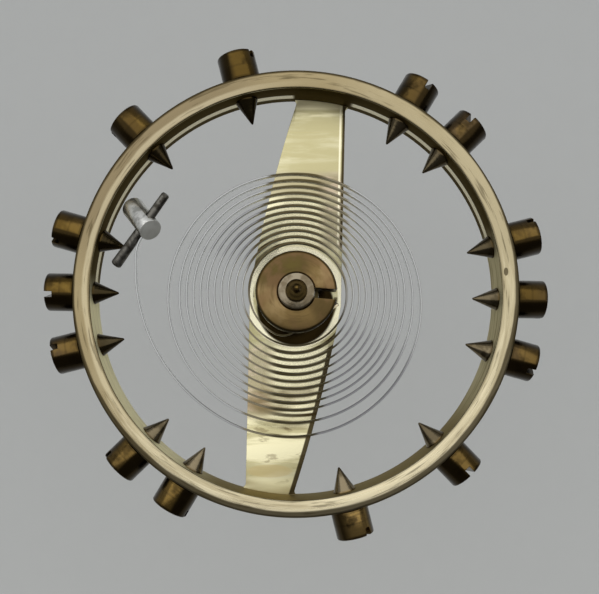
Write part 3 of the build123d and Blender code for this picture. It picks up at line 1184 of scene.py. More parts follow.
@dataclass(frozen=True)
class StaffSteel:
    """The polished steel of staff and rollers, straw-tinted on the staff's upper end, with painted
    shade on its upper cone and pivot and where it runs under and inside the collet.
    """

    bright: Colour = (0.52, 0.50, 0.46)
    grey: Colour = (0.36, 0.34, 0.31)
    straw: Colour = (0.15, 0.120, 0.075)
    straw_light: Colour = (0.26, 0.22, 0.155)
    dark_and_painted_shade: Colour = (0.050, 0.038, 0.017)
    # painted shade of the upper cone and pivot
    cone: Colour = (0.135, 0.088, 0.026)

    def make(self, levels: Levels) -> Material:
        """Build the material.

        Args:
            levels: Shared sizes.

        Returns:
            The material.
        """
        graph = Graph("polished_steel_finish")
        top = levels.collet_top
        clouds = graph.noise(2.0, 3.0, seed=5.0)
        blotches = graph.noise(3.2, 3.0, seed=1.4)
        rings = graph.turned_noise(1.5, 28.0, 2.0, 4.0)
        upper_end = graph.mix(blotches.ramp(0.44, 0.60), self.straw, self.straw_light)
        # painted shade: the upper cone and pivot are dark brown
        cone = graph.radius.ramp(0.245, 0.235) * graph.z.ramp(top + 0.04, top + 0.06)
        colour = graph.layer(
            self.bright,
            (clouds.ramp(0.40, 0.60), self.grey),
            (graph.z.ramp(top - 0.03, top + 0.01), upper_end),
            # painted shade where the staff runs under and inside the collet
            (graph.z.band(2.2, top - 0.03, 0.02), self.dark_and_painted_shade),
            (cone * (0.75 + 0.4 * blotches), self.cone),
        )
        graph.bump(rings * 0.7 + clouds * 0.3, 0.003)
        return graph.dress(Base_Color=colour, Roughness=0.15 + 0.14 * rings, Metallic=1.0)


@dataclass(frozen=True)
class DrawnMetal:
    """A drawn or ground metal with blotches, for the pins and the stud."""

    name: str
    light: Colour
    dark: Colour
    rough: float = 0.22
    blotch: float = 3.0
    cap: Colour | None = None
    cap_start: float = 0.195
    cap_full: float = 0.218

    def make(self) -> Material:
        """Build the material, with a dull cap on a turned piece's upper end if it has one.

        Returns:
            The material.
        """
        graph = Graph(self.name)
        blotches = graph.noise(self.blotch, 4.0, seed=self.blotch * 5)
        scratches = graph.noise(6.0, 2.0, (1.0, 1.0, 5.0), 3.0)
        colour = graph.mix(blotches.ramp(0.42, 0.60), self.light, self.dark)
        rough = self.rough + 0.16 * scratches
        graph.bump(scratches * 0.6 + blotches * 0.4, 0.003)
        if self.cap is None:
            return graph.dress(Base_Color=colour, Roughness=rough, Metallic=1.0)
        end = graph.turned()[2].ramp(self.cap_start, self.cap_full)
        colour = graph.mix(end * (0.75 + 0.25 * blotches), colour, self.cap)
        rough = rough + end * 0.2
        return graph.dress(Base_Color=colour, Roughness=rough, Metallic=1.0 - end * 0.75)


@dataclass(frozen=True)
class SpringAlloy:
    """The fine polished alloy of the hairspring, with a painted sheen on its turns towards some
    sides and painted shade where it lies over the arm.
    """

    # colours of the painted shade over the arm
    dark: Colour = (0.050, 0.041, 0.021)
    dark_and_painted_shade: Colour = (0.090, 0.072, 0.037)
    faint: Colour = (0.20, 0.175, 0.12)
    grey: Colour = (0.20, 0.20, 0.207)
    # colours of the painted sheen
    painted_sheen: Colour = (0.385, 0.39, 0.385)
    painted_side_sheen: Colour = (0.95, 0.96, 0.95)
    loose: Colour = (0.33, 0.335, 0.33)

    def make(self, levels: Levels) -> Material:
        """Build the material.

        Args:
            levels: Shared sizes.

        Returns:
            The material.
        """
        graph = Graph("spring_alloy_finish")
        scale = graph.turned_noise(5.0, 1.0, 3.0, 3.0)
        top = levels.strip + levels.strip_height / 2 - 0.006
        wall = graph.z.ramp(top, top - 0.004)
        faded = graph.facing(176.0).ramp(0.60, 0.85)
        # painted sheen: bright sides of the turns, and paler loose outer turns except to the west
        painted_sheen = graph.layer(
            self.painted_sheen,
            (wall, self.painted_side_sheen),
            (graph.radius.ramp(2.85, 3.00) * (1.0 - faded), self.loose),
        )

        # where the painted sheen falls, by side
        side = graph.facing(20.0)
        outer = graph.facing(80.0).ramp(-0.1, 0.4) * graph.radius.ramp(1.95, 2.15)
        corner = graph.facing(140.0).ramp(0.80, 0.97) * graph.radius.ramp(1.70, 1.95) * 0.5
        paler_by_side = (side * side + (scale - 0.5) * 0.3).ramp(0.20, 0.62).most(outer).most(corner)

        # painted shade on the turns that lie over the arm
        long_side, slant_side = ArmFlanks().margins(graph)
        over_arm = long_side.least(slant_side).ramp(-0.12, 0.04)
        north = graph.y.ramp(-0.5, 0.5)
        aside = graph.x.ramp(0.45, 0.80) * north + graph.x.ramp(-0.40, -0.80) * (1.0 - north)
        tone = graph.layer(self.dark, (north, self.dark_and_painted_shade), (aside, self.faint))
        colour = graph.layer(self.grey, (paler_by_side, painted_sheen), (over_arm * (1.0 - 0.55 * wall), tone))
        graph.bump(scale, 0.001)
        return graph.dress(Base_Color=colour, Roughness=0.26 + 0.12 * scale, Metallic=1.0)


@dataclass(frozen=True)
class Ruby:
    """The polished ruby of the impulse jewel."""

    red: Colour = (0.42, 0.012, 0.050)
    deep: Colour = (0.20, 0.004, 0.020)
    refraction: float = 1.76
    clear: float = 0.35

    def make(self) -> Material:
        """Build the material.

        Returns:
            The material.
        """
        graph = Graph("ruby_finish")
        clouds = graph.noise(6.0, 2.0, seed=6.0)
        graph.dress(IOR=self.refraction, Transmission_Weight=self.clear)
        colour = graph.mix(clouds, self.red, self.deep)
        return graph.dress(Base_Color=colour, Roughness=0.05 + 0.05 * clouds)


@dataclass
class BalanceWheel:
    """The plain rim and its tapered arm, which are one piece."""

    levels: Levels
    outer_break: float = 0.06
    inner_break: float = 0.03
    foot_break: float = 0.025
    arm_thickness: float = 0.16
    waist_width: float = 2.12
    long_flank_offset: float = 1.17
    slant_crossing: float = 0.12
    slant_start: float = 0.20
    slant_sag: float = 0.085
    root_radius: float = 0.12
    root_overlap: float = 0.14
    seat_radius: float = 0.455
    seat_reach: Point = (0.5, 2.4)
    arm_edge: float = 0.014
    rim_steps: int = 288
    seat_steps: int = 96
    flank_steps: int = 14
    root_steps: int = 6
    halvings: int = 40

    def section(self) -> list[Point]:
        """Give the rim's section with its rounded breaks.

        Returns:
            Radius and height of each corner.
        """
        low, high = self.levels.arm, self.levels.rim_top
        inner, outer = self.levels.rim_inner_radius, self.levels.rim_radius
        corners = (
            (inner, low, self.foot_break, 1, 1, 180),
            (outer, low, self.foot_break, -1, 1, 270),
            (outer, high, self.outer_break, -1, -1, 0),
            (inner, high, self.inner_break, 1, -1, 90),
        )
        points = []
        for radius, level, size, inward, upward, start in corners:
            centre = (radius + inward * size, level + upward * size)
            points += [shift(centre, size, start + turn) for turn in (0, 30, 60, 90)]
        return points

    def root(self, foot: Point, way: float, inner_side: float) -> list[Point]:
        """Give the points of the small round between a flank and the rim's inner wall.

        Args:
            foot: Where the flank meets the rim's inner radius.
            way: Azimuth of the flank, towards the rim.
            inner_side: 1 where the window lies to the left of that way, and -1 to the right.

        Returns:
            Points from the flank to a place inside the rim.
        """
        back = shift(foot, -self.root_radius, way)
        centre = shift(back, self.root_radius, way + inner_side * 90)
        start = way - inner_side * 90
        points = [
            shift(centre, self.root_radius, start + inner_side * 90 * step / self.root_steps)
            for step in range(self.root_steps + 1)
        ]
        return points + [shift(points[-1], self.root_overlap, bearing((0.0, 0.0), points[-1]))]

    def crossing(self, start: Point, end: Point) -> Point:
        """Find where a line meets the rim's inner radius.

        Args:
            start: A plan position inside the rim.
            end: A plan position beyond its inner radius.

        Returns:
            The meeting point.
        """
        low, high = 0.0, 1.0
        for _ in range(self.halvings):
            middle = (low + high) / 2
            if math.hypot(*between(start, end, middle)) < self.levels.rim_inner_radius:
                low = middle
            else:
                high = middle
        return between(start, end, low)

    def slanted_flank(self, waist: Point, end: Point) -> list[Point]:
        """Bow the slanted flank outwards between its two ends.

        Args:
            waist: Its start at the arm's waist.
            end: Its end inside the rim.

        Returns:
            Its points, from the waist outwards.
        """
        chord = Vector(end) - Vector(waist)
        bow = Vector((chord.y, -chord.x)).normalized() * -self.slant_sag
        points = []
        for step in range(self.flank_steps + 1):
            share = step / self.flank_steps
            place = Vector(waist) + chord * share + bow * (1 - (2 * share - 1) ** 2)
            points.append(tuple(place))
        return points

    def half_outline(self) -> list[Point]:
        """Draw one side of the arm, from its northern end round the waist to its southern end.

        Returns:
            Plan position of each corner.
        """
        middle_radius = self.levels.rim_middle_radius
        long_end = (self.long_flank_offset, middle_radius)
        waist = (self.waist_width / 2, -self.slant_start)
        meets = self.crossing(waist, long_end)
        points = self.root(meets, bearing(waist, long_end), -1)[::-1]

        slanted = self.slanted_flank(waist, (-self.slant_crossing, -middle_radius))
        reach = self.levels.rim_inner_radius - self.root_radius
        inside = [point for point in slanted if math.hypot(*point) < reach]
        meets = self.crossing(inside[-1], slanted[len(inside)])
        return points + inside + self.root(meets, bearing(inside[-1], meets), 1)

    def make(self, material: Material) -> None:
        """Build the rim and the arm, unite them and hand over the wheel.

        Args:
            material: Their finish.
        """
        rim = Bench.ring("balance_wheel_gilt", self.section(), self.rim_steps)
        half = self.half_outline()
        outline = half + [(-x, -y) for x, y in half]
        arm = Bench.slab("arm", outline, self.levels.arm, self.arm_thickness)
        Bench.soften(arm, self.arm_edge, 2)
        Bench.meet(arm, Bench.rod("seat", self.seat_radius, self.seat_reach, self.seat_steps))
        Bench.meet(rim, arm, Meeting.UNITE)
        Bench.weld(rim)
        Bench.hand_over(rim, material, Slot.GILT, "balance_wheel")


@dataclass
class BalanceScrews:
    """The slotted screws of the rim, turned once and copied."""

    levels: Levels
    head_radius: float = 0.43
    head_length: float = 0.65
    head_break: float = 0.035
    head_round_share: float = 0.35
    foot_break: float = 0.02
    foot_gap: float = 0.002
    shank_radius: float = 0.26
    point_length: float = 0.56
    tip_radii: Point = (0.012, 0.026)
    tip_length: float = 0.02
    belly_shares: Point = (0.55, 0.52)
    neck_share: float = 0.93
    neck_reach: Point = (0.05, 0.02)
    slot_width: float = 0.13
    slot_depth: float = 0.18
    slot_length: float = 1.2
    slot_break: float = 0.008
    turn: float = -0.9
    angles: tuple = (0.0, 15.0, 45.0, 60.0, 105.0, 135.0, 165.0)
    slot_step: float = 37.0
    segments: int = 64

    def blank(self) -> Piece:
        """Turn one screw on the Z axis, with its point towards the origin.

        Returns:
            The slotted screw.
        """
        inner, outer = self.levels.rim_inner_radius, self.levels.rim_radius
        end = outer + self.head_length
        tip = inner - self.point_length
        head, shank, rounding = self.head_radius, self.shank_radius, self.head_break
        cut = rounding * self.head_round_share
        belly, belly_level = self.belly_shares
        stations = [
            (self.tip_radii[0], tip),
            (self.tip_radii[1], tip + self.tip_length),
            (shank * belly, tip + self.point_length * belly_level),
            (shank * self.neck_share, inner - self.neck_reach[0]),
            (shank, inner - self.neck_reach[1]),
            (shank, inner),
            (shank, outer),
            (head - self.foot_break, outer + self.foot_gap),
            (head, outer + self.foot_break),
            (head, end - rounding),
            (head - cut, end - cut),
            (head - rounding, end),
        ]
        screw = Bench.turn("screw_blank", stations, self.segments)
        size = (self.slot_length, self.slot_width, 2 * self.slot_depth)
        Bench.meet(screw, Bench.block("slot", size, Matrix.Translation((0, 0, end))))
        Bench.soften(screw, self.slot_break, 1, SHARP_ANGLE)
        return screw

    def make(self, material: Material) -> None:
        """Lay a copy in each hole of the rim.

        Args:
            material: Their finish.
        """
        blank = self.blank()
        azimuths = [angle + turn + self.turn for turn in (0, 180) for angle in self.angles]
        for index, azimuth in enumerate(azimuths):
            node = f"balance_screw_{index + 1:02d}"
            laid = turn_about("Y", 90) @ turn_about("Z", self.slot_step * index + 90)
            screw = Bench.copy(blank, node + "_turned", laid)
            Bench.keep_turned(screw)
            raised = Matrix.Translation((0, 0, self.levels.screw))
            screw.data.transform(turn_about("Z", azimuth) @ raised)
            Bench.hand_over(screw, material, Slot.SCREW, node)
        bpy.data.objects.remove(blank)


@dataclass
class Staff:
    """The staff, as radius and height of its stations, part by part from its foot up.

    Heights of the hub, seat, rivet and collet post are those above their levels.
    """

    levels: Levels
    lower_pivot: tuple = ((0.012, 0.0), (0.030, 0.006), (0.05, 0.028), (0.05, 0.26))
    lower_cone: tuple = ((0.058, 0.29), (0.085, 0.34), (0.13, 0.42), (0.18, 0.50))
    roller_post: tuple = ((0.265, 0.50), (0.28, 0.515))
    hub: tuple = ((0.28, 0.0), (0.64, 0.0), (0.65, 0.004), (0.745, 0.095), (0.75, 0.11))
    seat: tuple = ((0.75, -0.01), (0.74, 0.0), (0.45, 0.0))
    rivet: tuple = ((0.45, 0.0), (0.53, 0.0), (0.54, 0.008), (0.50, 0.035), (0.455, 0.06))
    rivet_neck: tuple = ((0.47, 0.09), (0.50, 0.15))
    collet_post: tuple = ((0.50, 0.0), (0.40, 0.0))
    upper_edge: tuple = ((0.40, 3.15), (0.385, 3.185), (0.355, 3.20), (0.245, 3.20))
    upper_post: tuple = ((0.232, 3.205), (0.230, 3.22), (0.230, 3.445), (0.222, 3.462))
    upper_cone: tuple = ((0.15, 3.53), (0.085, 3.60), (0.060, 3.65))
    upper_pivot: tuple = ((0.05, 3.69), (0.05, 3.932), (0.030, 3.954), (0.012, 3.96))
    segments: int = 96

    def make(self, material: Material) -> None:
        """Turn the staff.

        Args:
            material: Its finish.
        """
        levels = self.levels
        lower = self.lower_pivot + self.lower_cone + self.roller_post
        upper = self.upper_edge + self.upper_post + self.upper_cone + self.upper_pivot
        parts = (
            (0.0, lower),
            (levels.hub, self.hub),
            (levels.arm, self.seat),
            (levels.arm_top, self.rivet + self.rivet_neck),
            (levels.collet, self.collet_post),
            (0.0, upper),
        )
        stations = [(radius, level + rise) for level, part in parts for radius, rise in part]
        staff = Bench.turn("balance_staff_turned", stations, self.segments)
        Bench.hand_over(staff, material, Slot.STEEL, "balance_staff")


@dataclass
class Rollers:
    """The impulse roller with its jewel, and the safety roller on its pipe."""

    levels: Levels
    impulse_radius: float = 1.0
    impulse_thickness: float = 0.20
    impulse_steps: int = 128
    safety_radius: float = 0.52
    safety_thickness: float = 0.18
    safety_level: float = 0.50
    safety_steps: int = 96
    bore_radius: float = 0.285
    pipe_radius: float = 0.395
    hollow_radius: float = 0.17
    hollow_overrun: float = 0.1
    hollow_steps: int = 64
    jewel_radius: float = 0.15
    jewel_flat: float = 0.10
    jewel_orbit: float = 0.72
    jewel_azimuth: float = -98.0
    jewel_drop: float = 0.44
    jewel_edge: float = 0.012
    jewel_clearance: float = 0.005
    jewel_hole_overrun: float = 0.2
    jewel_steps: int = 64
    edge: float = 0.02

    def jewel_shape(self, name: str, grow: float, reach: Point) -> Piece:
        """Shape the half-moon jewel, or its hole.

        Args:
            name: The shape's name.
            grow: How much larger than the jewel its radius is.
            reach: Heights of its foot and its top.

        Returns:
            The shape, at its place.
        """
        radius = self.jewel_radius + grow
        jewel = Bench.rod(name, radius, reach, self.jewel_steps)
        Bench.flatten(jewel, radius - self.jewel_flat)
        outwards = Matrix.Translation((self.jewel_orbit, 0, 0))
        jewel.data.transform(turn_about("Z", self.jewel_azimuth) @ outwards)
        return jewel

    def make(self, steel: Material, ruby: Material) -> None:
        """Build both rollers and the jewel.

        Args:
            steel: The rollers' finish.
            ruby: The jewel's finish.
        """
        bore, edge, top = self.bore_radius, self.edge, self.levels.hub
        foot = top - self.impulse_thickness
        disc = bevelled_disc(bore, self.impulse_radius, foot, top, edge) + [(bore, top)]
        roller = Bench.ring("impulse_roller_turned", disc, self.impulse_steps)
        reach = (foot - self.jewel_hole_overrun, top + self.jewel_hole_overrun)
        Bench.meet(roller, self.jewel_shape("jewel_hole", self.jewel_clearance, reach))
        Bench.hand_over(roller, steel, Slot.STEEL, "impulse_roller")

        low = self.safety_level
        high = low + self.safety_thickness
        disc = bevelled_disc(bore, self.safety_radius, low, high, edge)
        pipe = [(self.pipe_radius, high), (self.pipe_radius, foot), (bore, foot)]
        guard = Bench.ring("safety_roller_turned", disc + pipe, self.safety_steps)
        reach = (low - self.hollow_overrun, high + self.hollow_overrun)
        hollow = Bench.rod("hollow", self.hollow_radius, reach, self.hollow_steps)
        place = polar(self.safety_radius + self.jewel_flat, self.jewel_azimuth)
        hollow.data.transform(Matrix.Translation((*place, 0)))
        Bench.meet(guard, hollow)
        Bench.hand_over(guard, steel, Slot.STEEL, "safety_roller")

        jewel = self.jewel_shape("impulse_jewel_cut", 0.0, (foot - self.jewel_drop, top))
        Bench.soften(jewel, self.jewel_edge, 2)
        Bench.weld(jewel)
        Bench.hand_over(jewel, ruby, Slot.RUBY, "impulse_jewel")


@dataclass
class Collet:
    """The split collet and the taper pin in its cross hole."""

    levels: Levels
    radius: float = 0.88
    bore_radius: float = 0.405
    edge: float = 0.06
    bore_edge: float = 0.02
    break_width: float = 0.010
    slot_width: float = 0.22
    slot_azimuth: float = -4.6
    hole_radius: float = 0.11
    hole_offset: float = 0.68
    hole_azimuth: float = -61.0
    tool_length: float = 1.2
    pin_radii: Point = (0.10, 0.085)
    pin_reach: Point = (0.6786, 0.4786)
    pin_lead: float = 0.02
    strip_offset: float = 0.0514
    clearance: float = 0.01
    steps: int = 128

    def across(self) -> Matrix:
        """Lay the Z axis along the cross hole, and X outwards.

        Returns:
            The matrix of the hole.
        """
        azimuth = math.radians(self.hole_azimuth)
        outward = Vector((math.cos(azimuth), math.sin(azimuth), 0))
        along = Vector((math.sin(azimuth), -math.cos(azimuth), 0))
        side = along.cross(outward)
        turn = Matrix((outward, side, along)).transposed().to_4x4()
        centre = outward * self.hole_offset + Vector((0, 0, self.levels.strip))
        return Matrix.Translation(centre) @ turn

    def make(self, bronze: Material, brass: Material) -> None:
        """Build the collet and its pin.

        Args:
            bronze: The collet's finish.
            brass: The pin's finish.
        """
        low, high, bore = self.levels.collet, self.levels.collet_top, self.bore_radius
        section = [(bore, low), *rounded_side(self.radius, low, high, self.edge)]
        section += [(bore + self.bore_edge, high), (bore, high - self.bore_edge)]
        collet = Bench.ring("collet_split", section, self.steps)
        outwards = Matrix.Translation((self.radius, 0, (low + high) / 2))
        size = (2 * self.radius, self.slot_width, self.tool_length)
        Bench.meet(collet, Bench.block("slot", size, turn_about("Z", self.slot_azimuth) @ outwards))
        hole = Bench.rod("hole", self.hole_radius, (-self.tool_length, self.tool_length))
        hole.data.transform(self.across())
        Bench.meet(collet, hole)
        Bench.soften(collet, self.break_width, 2, SHARP_ANGLE)
        Bench.hand_over(collet, bronze, Slot.BRONZE, "collet")

        pin = Bench.taper_pin("collet_pin_turned", self.pin_radii, self.pin_reach, self.pin_lead)
        Bench.flatten(pin, self.strip_offset - self.levels.strip_thickness / 2 - self.clearance)
        pin.data.transform(self.across())
        Bench.hand_over(pin, brass, Slot.PIN, "collet_pin")


@dataclass(frozen=True)
class Stretch:
    """One stretch of the strip: an arc about a centre, or a straight run from a start."""

    centre: Point
    size: float
    azimuth: float
    sweep: float = 0.0

    def steps(self, degrees: float) -> int:
        """Give the number of steps that the stretch is swept in."""
        return max(LEAST_STEPS, round(abs(self.sweep) / degrees)) if self.sweep else 1

    def length(self) -> float:
        """Give the length of the stretch, whose size is a radius or a length."""
        return self.size * math.radians(abs(self.sweep)) if self.sweep else self.size


@dataclass
class Hairspring:
    """The flat spiral, wound as one strip of half turns from the collet out to the stud."""

    levels: Levels
    collet_radius: float = 0.88
    hole_azimuth: float = -61.0
    line_offset: float = 0.7314
    tail_proud: float = 0.01
    tail_depth: float = 0.10
    inner_bend: float = 0.42
    first_gap: float = 0.205
    regular_turns: int = 10
    near_last_share: float = 0.5572
    far_last_share: float = 0.562
    loose_shares: tuple = (0.624, 0.693)
    outlet_gap: float = 0.80
    outlet_sweep: float = 66.0
    outer_bend: float = 0.65
    outer_tail: float = 0.10
    pin_azimuth: float = 50.8
    corner: float = 0.006
    degrees_per_step: float = 3.0

    def turns(self, far: float, far_azimuth: float) -> tuple[list[Stretch], float]:
        """Work out the turns, each of two half circles: one from its far side, one back to it.

        Args:
            far: Distance from the staff's axis at which the first turn starts.
            far_azimuth: Azimuth of that start.

        Returns:
            The half circles in order, and the distance at which the last one ends.
        """
        inner = self.levels.rim_inner_radius
        pitch = (self.far_last_share * inner - far) / self.regular_turns
        far_radii = [far + pitch * turn for turn in range(1, self.regular_turns + 1)]
        far_radii += [share * inner for share in self.loose_shares]
        near_first = self.collet_radius + self.first_gap
        near_pitch = (self.near_last_share * inner - near_first) / (len(far_radii) - 1)
        halves = []
        for turn, next_far in enumerate(far_radii):
            near = near_first + near_pitch * turn
            for first, second, side in ((far, near, 0), (near, next_far, 180)):
                azimuth = far_azimuth + side
                centre = polar((first - second) / 2, azimuth)
                halves.append(Stretch(centre, (first + second) / 2, azimuth, -180.0))
            far = next_far
        return halves, far

    def route(self) -> tuple[list[Stretch], Point]:
        """Work out the line of the strip.

        Returns:
            Its stretches in order, and the plan position of its outer end.
        """
        tail_azimuth = self.hole_azimuth - 90
        tail = math.sqrt(self.collet_radius**2 - self.line_offset**2) + self.tail_proud
        foot = polar(self.line_offset, self.hole_azimuth)
        start = shift(foot, -self.tail_depth, tail_azimuth)
        stretches = [Stretch(start, tail + self.tail_depth, tail_azimuth)]
        bend_start = shift(foot, tail, tail_azimuth)
        bend_centre = shift(bend_start, -self.inner_bend, self.hole_azimuth)
        far_azimuth = bearing((0.0, 0.0), bend_centre)
        sweep = far_azimuth - self.hole_azimuth
        stretches.append(Stretch(bend_centre, self.inner_bend, self.hole_azimuth, sweep))
        halves, far = self.turns(math.hypot(*bend_centre) + self.inner_bend, far_azimuth)
        stretches += halves

        outlet = self.levels.rim_inner_radius - self.outlet_gap
        centre = shift(polar(far, far_azimuth), -outlet, far_azimuth)
        stretches.append(Stretch(centre, outlet, far_azimuth, -self.outlet_sweep))
        bend_azimuth = far_azimuth - self.outlet_sweep
        final = self.pin_azimuth + 90 - 360
        centre = shift(shift(centre, outlet, bend_azimuth), -self.outer_bend, bend_azimuth)
        stretches.append(Stretch(centre, self.outer_bend, bend_azimuth, final - bend_azimuth))
        bend_end = shift(centre, self.outer_bend, final)
        stretches.append(Stretch(bend_end, self.outer_tail, self.pin_azimuth))
        return stretches, shift(bend_end, self.outer_tail, self.pin_azimuth)

    def section(self, start: Point, azimuth: float) -> list[Vector]:
        """Give the corners of the strip's section at its start, with the edges just broken.

        Args:
            start: Plan position of the strip's start.
            azimuth: The way that it runs.

        Returns:
            Place of each corner.
        """
        width, height = self.levels.strip_thickness / 2, self.levels.strip_height / 2
        cut = self.corner
        flat = [
            (width, -height + cut),
            (width, height - cut),
            (width - cut, height),
            (-width + cut, height),
            (-width, height - cut),
            (-width, -height + cut),
            (-width + cut, -height),
            (width - cut, -height),
        ]
        side, level = azimuth + 90, self.levels.strip
        return [Vector((*shift(start, across, side), level + up)) for across, up in flat]

    def make(self, material: Material) -> None:
        """Sweep the strip along its line and finish it.

        Args:
            material: Its finish.
        """
        stretches, _ = self.route()
        corners = self.section(stretches[0].centre, stretches[0].azimuth)
        spring = Bench.outline("hairspring_wound", corners, "NGON")
        lengths = [0.0]
        for stretch in stretches:
            steps = stretch.steps(self.degrees_per_step)
            if stretch.sweep:
                centre = (*stretch.centre, self.levels.strip)
                turn = math.radians(-stretch.sweep)
                bpy.ops.mesh.spin(steps=steps, angle=turn, center=centre, axis=(0, 0, 1))
            else:
                step = (*polar(stretch.size, stretch.azimuth), 0)
                bpy.ops.mesh.extrude_region_move(TRANSFORM_OT_translate={"value": step})
            share = stretch.length() / steps
            lengths += [lengths[-1] + share * (step + 1) for step in range(steps)]
        Bench.face_outwards()
        self.hand_over(spring, material, lengths, len(corners))

    def hand_over(
        self, spring: Piece, material: Material, lengths: list[float], corners: int
    ) -> None:
        """Finish the strip and work out each point's share of its length, which nothing uses.

        Args:
            spring: The strip, in millimetres.
            material: Its finish.
            lengths: Length along the strip at each of its sections.
            corners: Corners of a section.
        """
        Bench.finish(spring, material)
        count = len(spring.data.vertices)
        last = count // corners - 1
        LOG.info("hairspring: %d sections, %.1f mm", last + 1, lengths[-1])
        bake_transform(spring)
        whole = lengths[-1]
        weights = [lengths[min(index // corners, last)] / whole for index in range(count)]
        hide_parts("hairspring")
        LOG.info("%s: %d faces, between both bodies", spring.name, len(spring.data.polygons))


@dataclass
class Stud:
    """The leaning stud on the spring's outer end, with its taper pin."""

    levels: Levels
    radius: float = 0.25
    length: float = 1.00
    hole_depth: float = 0.22
    hole_reach: Point = (-0.6, 0.6)
    end_break: float = 0.03
    hole_break: float = 0.008
    steps: int = 64
    lean: float = 51.4
    pin_azimuth: float = 50.8
    pin_slope: float = 15.0
    pin_thick_radius: float = 0.12
    pin_thin_radius: float = 0.09
    pin_long: float = 1.15
    pin_short: float = 0.80
    pin_lead: float = 0.03
    tail_depth: float = 0.10
    pin_clearance: float = 0.01
    strip_clearance: float = 0.03

    def fit(self) -> tuple[float, float, float]:
        """Fit pin and strip into the hole.

        Returns:
            The pin's radius in the hole, the hole's radius, and the pin's offset in it.
        """
        share = self.pin_long / (self.pin_long + self.pin_short)
        pin = self.pin_thick_radius + (self.pin_thin_radius - self.pin_thick_radius) * share
        stack = 2 * pin + 2 * self.pin_clearance + self.levels.strip_thickness
        square = stack**2 + (self.levels.strip_height / 2) ** 2 - self.strip_clearance**2
        hole = square / (2 * (stack - self.strip_clearance))
        return pin, hole, hole - pin - self.pin_clearance

    @staticmethod
    def along(centre: Vector, way: Vector) -> Matrix:
        """Lay the Z axis along a way through a centre."""
        turn = way.to_track_quat("Z", "Y").to_matrix().to_4x4()
        return Matrix.Translation(centre) @ turn

    def make(self, tip: Point, bright: Material, dark: Material) -> None:
        """Build the stud round the strip's outer end, and its pin.

        Args:
            tip: Plan position of the strip's outer end.
            bright: The stud's finish.
            dark: The pin's finish.
        """
        slope, lean = math.radians(self.pin_slope), math.radians(self.lean)
        pin_way = Vector((*polar(math.cos(slope), self.pin_azimuth), math.sin(slope)))
        inner_side = Vector((*polar(1, self.pin_azimuth - 90), 0))
        upright = inner_side.cross(pin_way)
        upper_way = inner_side * math.sin(lean) + upright * math.cos(lean)
        pin_radius, hole_radius, pin_offset = self.fit()
        strip_offset = pin_radius - pin_offset + self.pin_clearance
        strip_offset += self.levels.strip_thickness / 2
        depth = self.radius - self.tail_depth
        centre = Vector((*tip, self.levels.strip)) - inner_side * strip_offset + pin_way * depth
        along_stud, along_pin = self.along(centre, upper_way), self.along(centre, pin_way)

        low, high = self.hole_depth - self.length, self.hole_depth
        stations = rounded_side(self.radius, low, high, self.end_break)
        stud = Bench.turn("stud_turned", stations, self.steps)
        hole = Bench.rod("hole", hole_radius, self.hole_reach)
        hole.data.transform(along_stud.inverted() @ along_pin)
        Bench.meet(stud, hole)
        Bench.soften(stud, self.hole_break, 2, SHARP_ANGLE)
        Bench.keep_turned(stud)
        stud.data.transform(along_stud)
        Bench.hand_over(stud, bright, Slot.STUD, "stud")

        radii = (self.pin_thick_radius, self.pin_thin_radius)
        reach = (self.pin_long, self.pin_short)
        pin = Bench.taper_pin("stud_pin_turned", radii, reach, self.pin_lead)
        pin.data.transform(Matrix.Translation(-inner_side * pin_offset) @ along_pin)
        Bench.hand_over(pin, dark, Slot.DARK, "stud_pin")


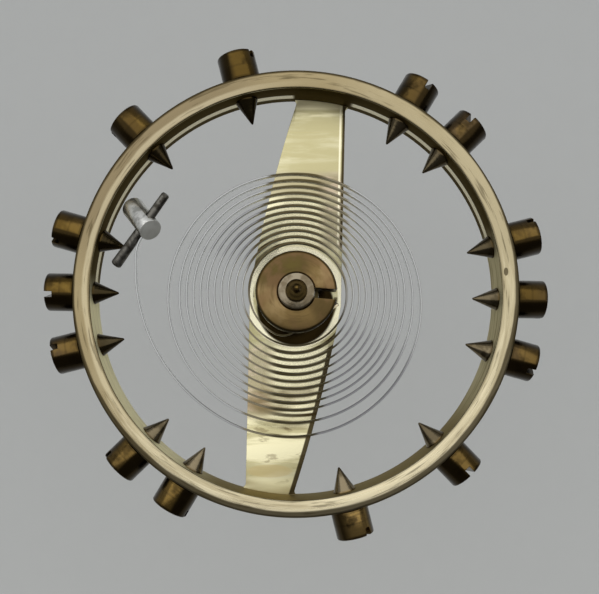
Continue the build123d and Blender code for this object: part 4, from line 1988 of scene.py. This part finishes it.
@dataclass
class Studio:
    """The floor, the softbox, the room and the camera. Lengths are in millimetres."""

    eye: tuple = (-0.22, -1.60, 20.60)
    lens: float = 48.98
    sensor: float = 36.0
    shift_right: float = 0.0225
    shift_up: float = 0.115
    sight: Point = (1.0, 4000.0)
    floor_level: float = -12.0
    floor_size: float = 6000.0
    floor_colour: Colour = (0.485, 0.495, 0.485)
    floor_painted_light: Colour = (0.54, 0.55, 0.535)
    floor_rough: float = 0.9
    floor_fade: Point = (16.0, -20.0)
    floor_clouds: float = 0.3
    softbox_place: tuple = (0.0, 232.0, 300.0)
    softbox_size: Point = (960.0, 655.0)
    softbox_radiance: float = 1.0
    room_colour: Colour = (0.97, 0.98, 1.0)
    room_dim: float = 0.13
    room_bright: float = 0.45
    room_fade: Point = (-0.35, 0.75)
    bright_side: tuple = (-0.30, 0.95, 0.0)

    def floor(self) -> None:
        """Lay the pale floor, painted paler to the south against the fall of the softbox's light
        and the wheel's shadow.
        """
        Bench.clear()
        size = self.floor_size * MM
        bpy.ops.mesh.primitive_plane_add(size=size, location=(0, 0, self.floor_level * MM))
        floor = Bench.take("floor")
        graph = Graph("floor_paper")
        grain = graph.noise(1.5, 4.0, seed=1.0)
        # painted light: the floor is paler to the south, against the light's fall and the wheel's
        # shadow
        near = graph.y.ramp(*self.floor_fade) + (grain - 0.5) * self.floor_clouds
        colour = graph.mix(near, self.floor_colour, self.floor_painted_light)
        floor.data.materials.append(graph.dress(Base_Color=colour, Roughness=self.floor_rough))

    def softbox(self) -> None:
        """Hang one large softbox over the wheel, most of it on the bright side."""
        light = bpy.data.lights.new("softbox", "AREA")
        light.shape = "RECTANGLE"
        light.size, light.size_y = (side * MM for side in self.softbox_size)
        light.energy = self.softbox_radiance * math.pi * light.size * light.size_y
        lamp = bpy.data.objects.new("softbox", light)
        lamp.location = Vector(self.softbox_place) * MM
        lamp.visible_camera = False
        bpy.context.scene.collection.objects.link(lamp)

    def room(self) -> None:
        """Fill the room with dim light that grows towards one side."""
        world = bpy.data.worlds.new("room")
        tree = Tree(world)
        way = tree.add("ShaderNodeTexCoord")
        inputs = {0: way.outputs["Generated"], 1: self.bright_side}
        dot = tree.add("ShaderNodeVectorMath", {"operation": "DOT_PRODUCT"}, inputs)
        growth = Shade(tree, dot.outputs["Value"]).ramp(*self.room_fade)
        strength = self.room_dim + (self.room_bright - self.room_dim) * growth
        inputs = {"Color": self.room_colour, "Strength": strength}
        light = tree.add("ShaderNodeBackground", inputs=inputs)
        tree.add("ShaderNodeOutputWorld", inputs={"Surface": light.outputs[0]})
        bpy.context.scene.world = world

    def camera(self) -> None:
        """Set the camera straight above the wheel, as in the photograph."""
        data = bpy.data.cameras.new("camera")
        data.sensor_width = self.sensor
        data.lens = self.lens
        data.shift_x = self.shift_right
        data.shift_y = self.shift_up
        data.clip_start, data.clip_end = (distance * MM for distance in self.sight)
        camera = bpy.data.objects.new("camera", data)
        camera.location = Vector(self.eye) * MM
        bpy.context.scene.collection.objects.link(camera)
        bpy.context.scene.camera = camera

    def make(self) -> None:
        """Build the whole studio."""
        self.floor()
        self.softbox()
        self.room()
        self.camera()
        bpy.context.scene.view_settings.view_transform = "Standard"


def main() -> None:
    """Build the looks around the frame."""
    logging.basicConfig(level=logging.INFO, format="%(name)s: %(message)s")
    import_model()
    levels = Levels()
    steel = StaffSteel().make(levels)
    brass = DrawnMetal("pin_brass_finish", (0.80, 0.74, 0.56), (0.55, 0.47, 0.30), rough=0.18)
    bright = DrawnMetal(
        "stud_steel_finish",
        (0.86, 0.86, 0.82),
        (0.50, 0.50, 0.47),
        blotch=4.0,
        cap=(0.36, 0.36, 0.33),
    )
    dark = DrawnMetal(
        "dark_steel_finish", (0.150, 0.143, 0.125), (0.050, 0.046, 0.038), rough=0.30, blotch=5.0
    )

    BalanceWheel(levels).make(GiltBrass().make(levels))
    BalanceScrews(levels).make(ScrewBrass().make(levels))
    Staff(levels).make(steel)
    Rollers(levels).make(steel, Ruby().make())
    Collet(levels).make(ColletBronze().make(levels), brass.make())
    spring = Hairspring(levels)
    spring.make(SpringAlloy().make(levels))
    Stud(levels).make(spring.route()[1], bright.make(), dark.make())
    Studio().make()


if __name__ == "__main__":
    main()
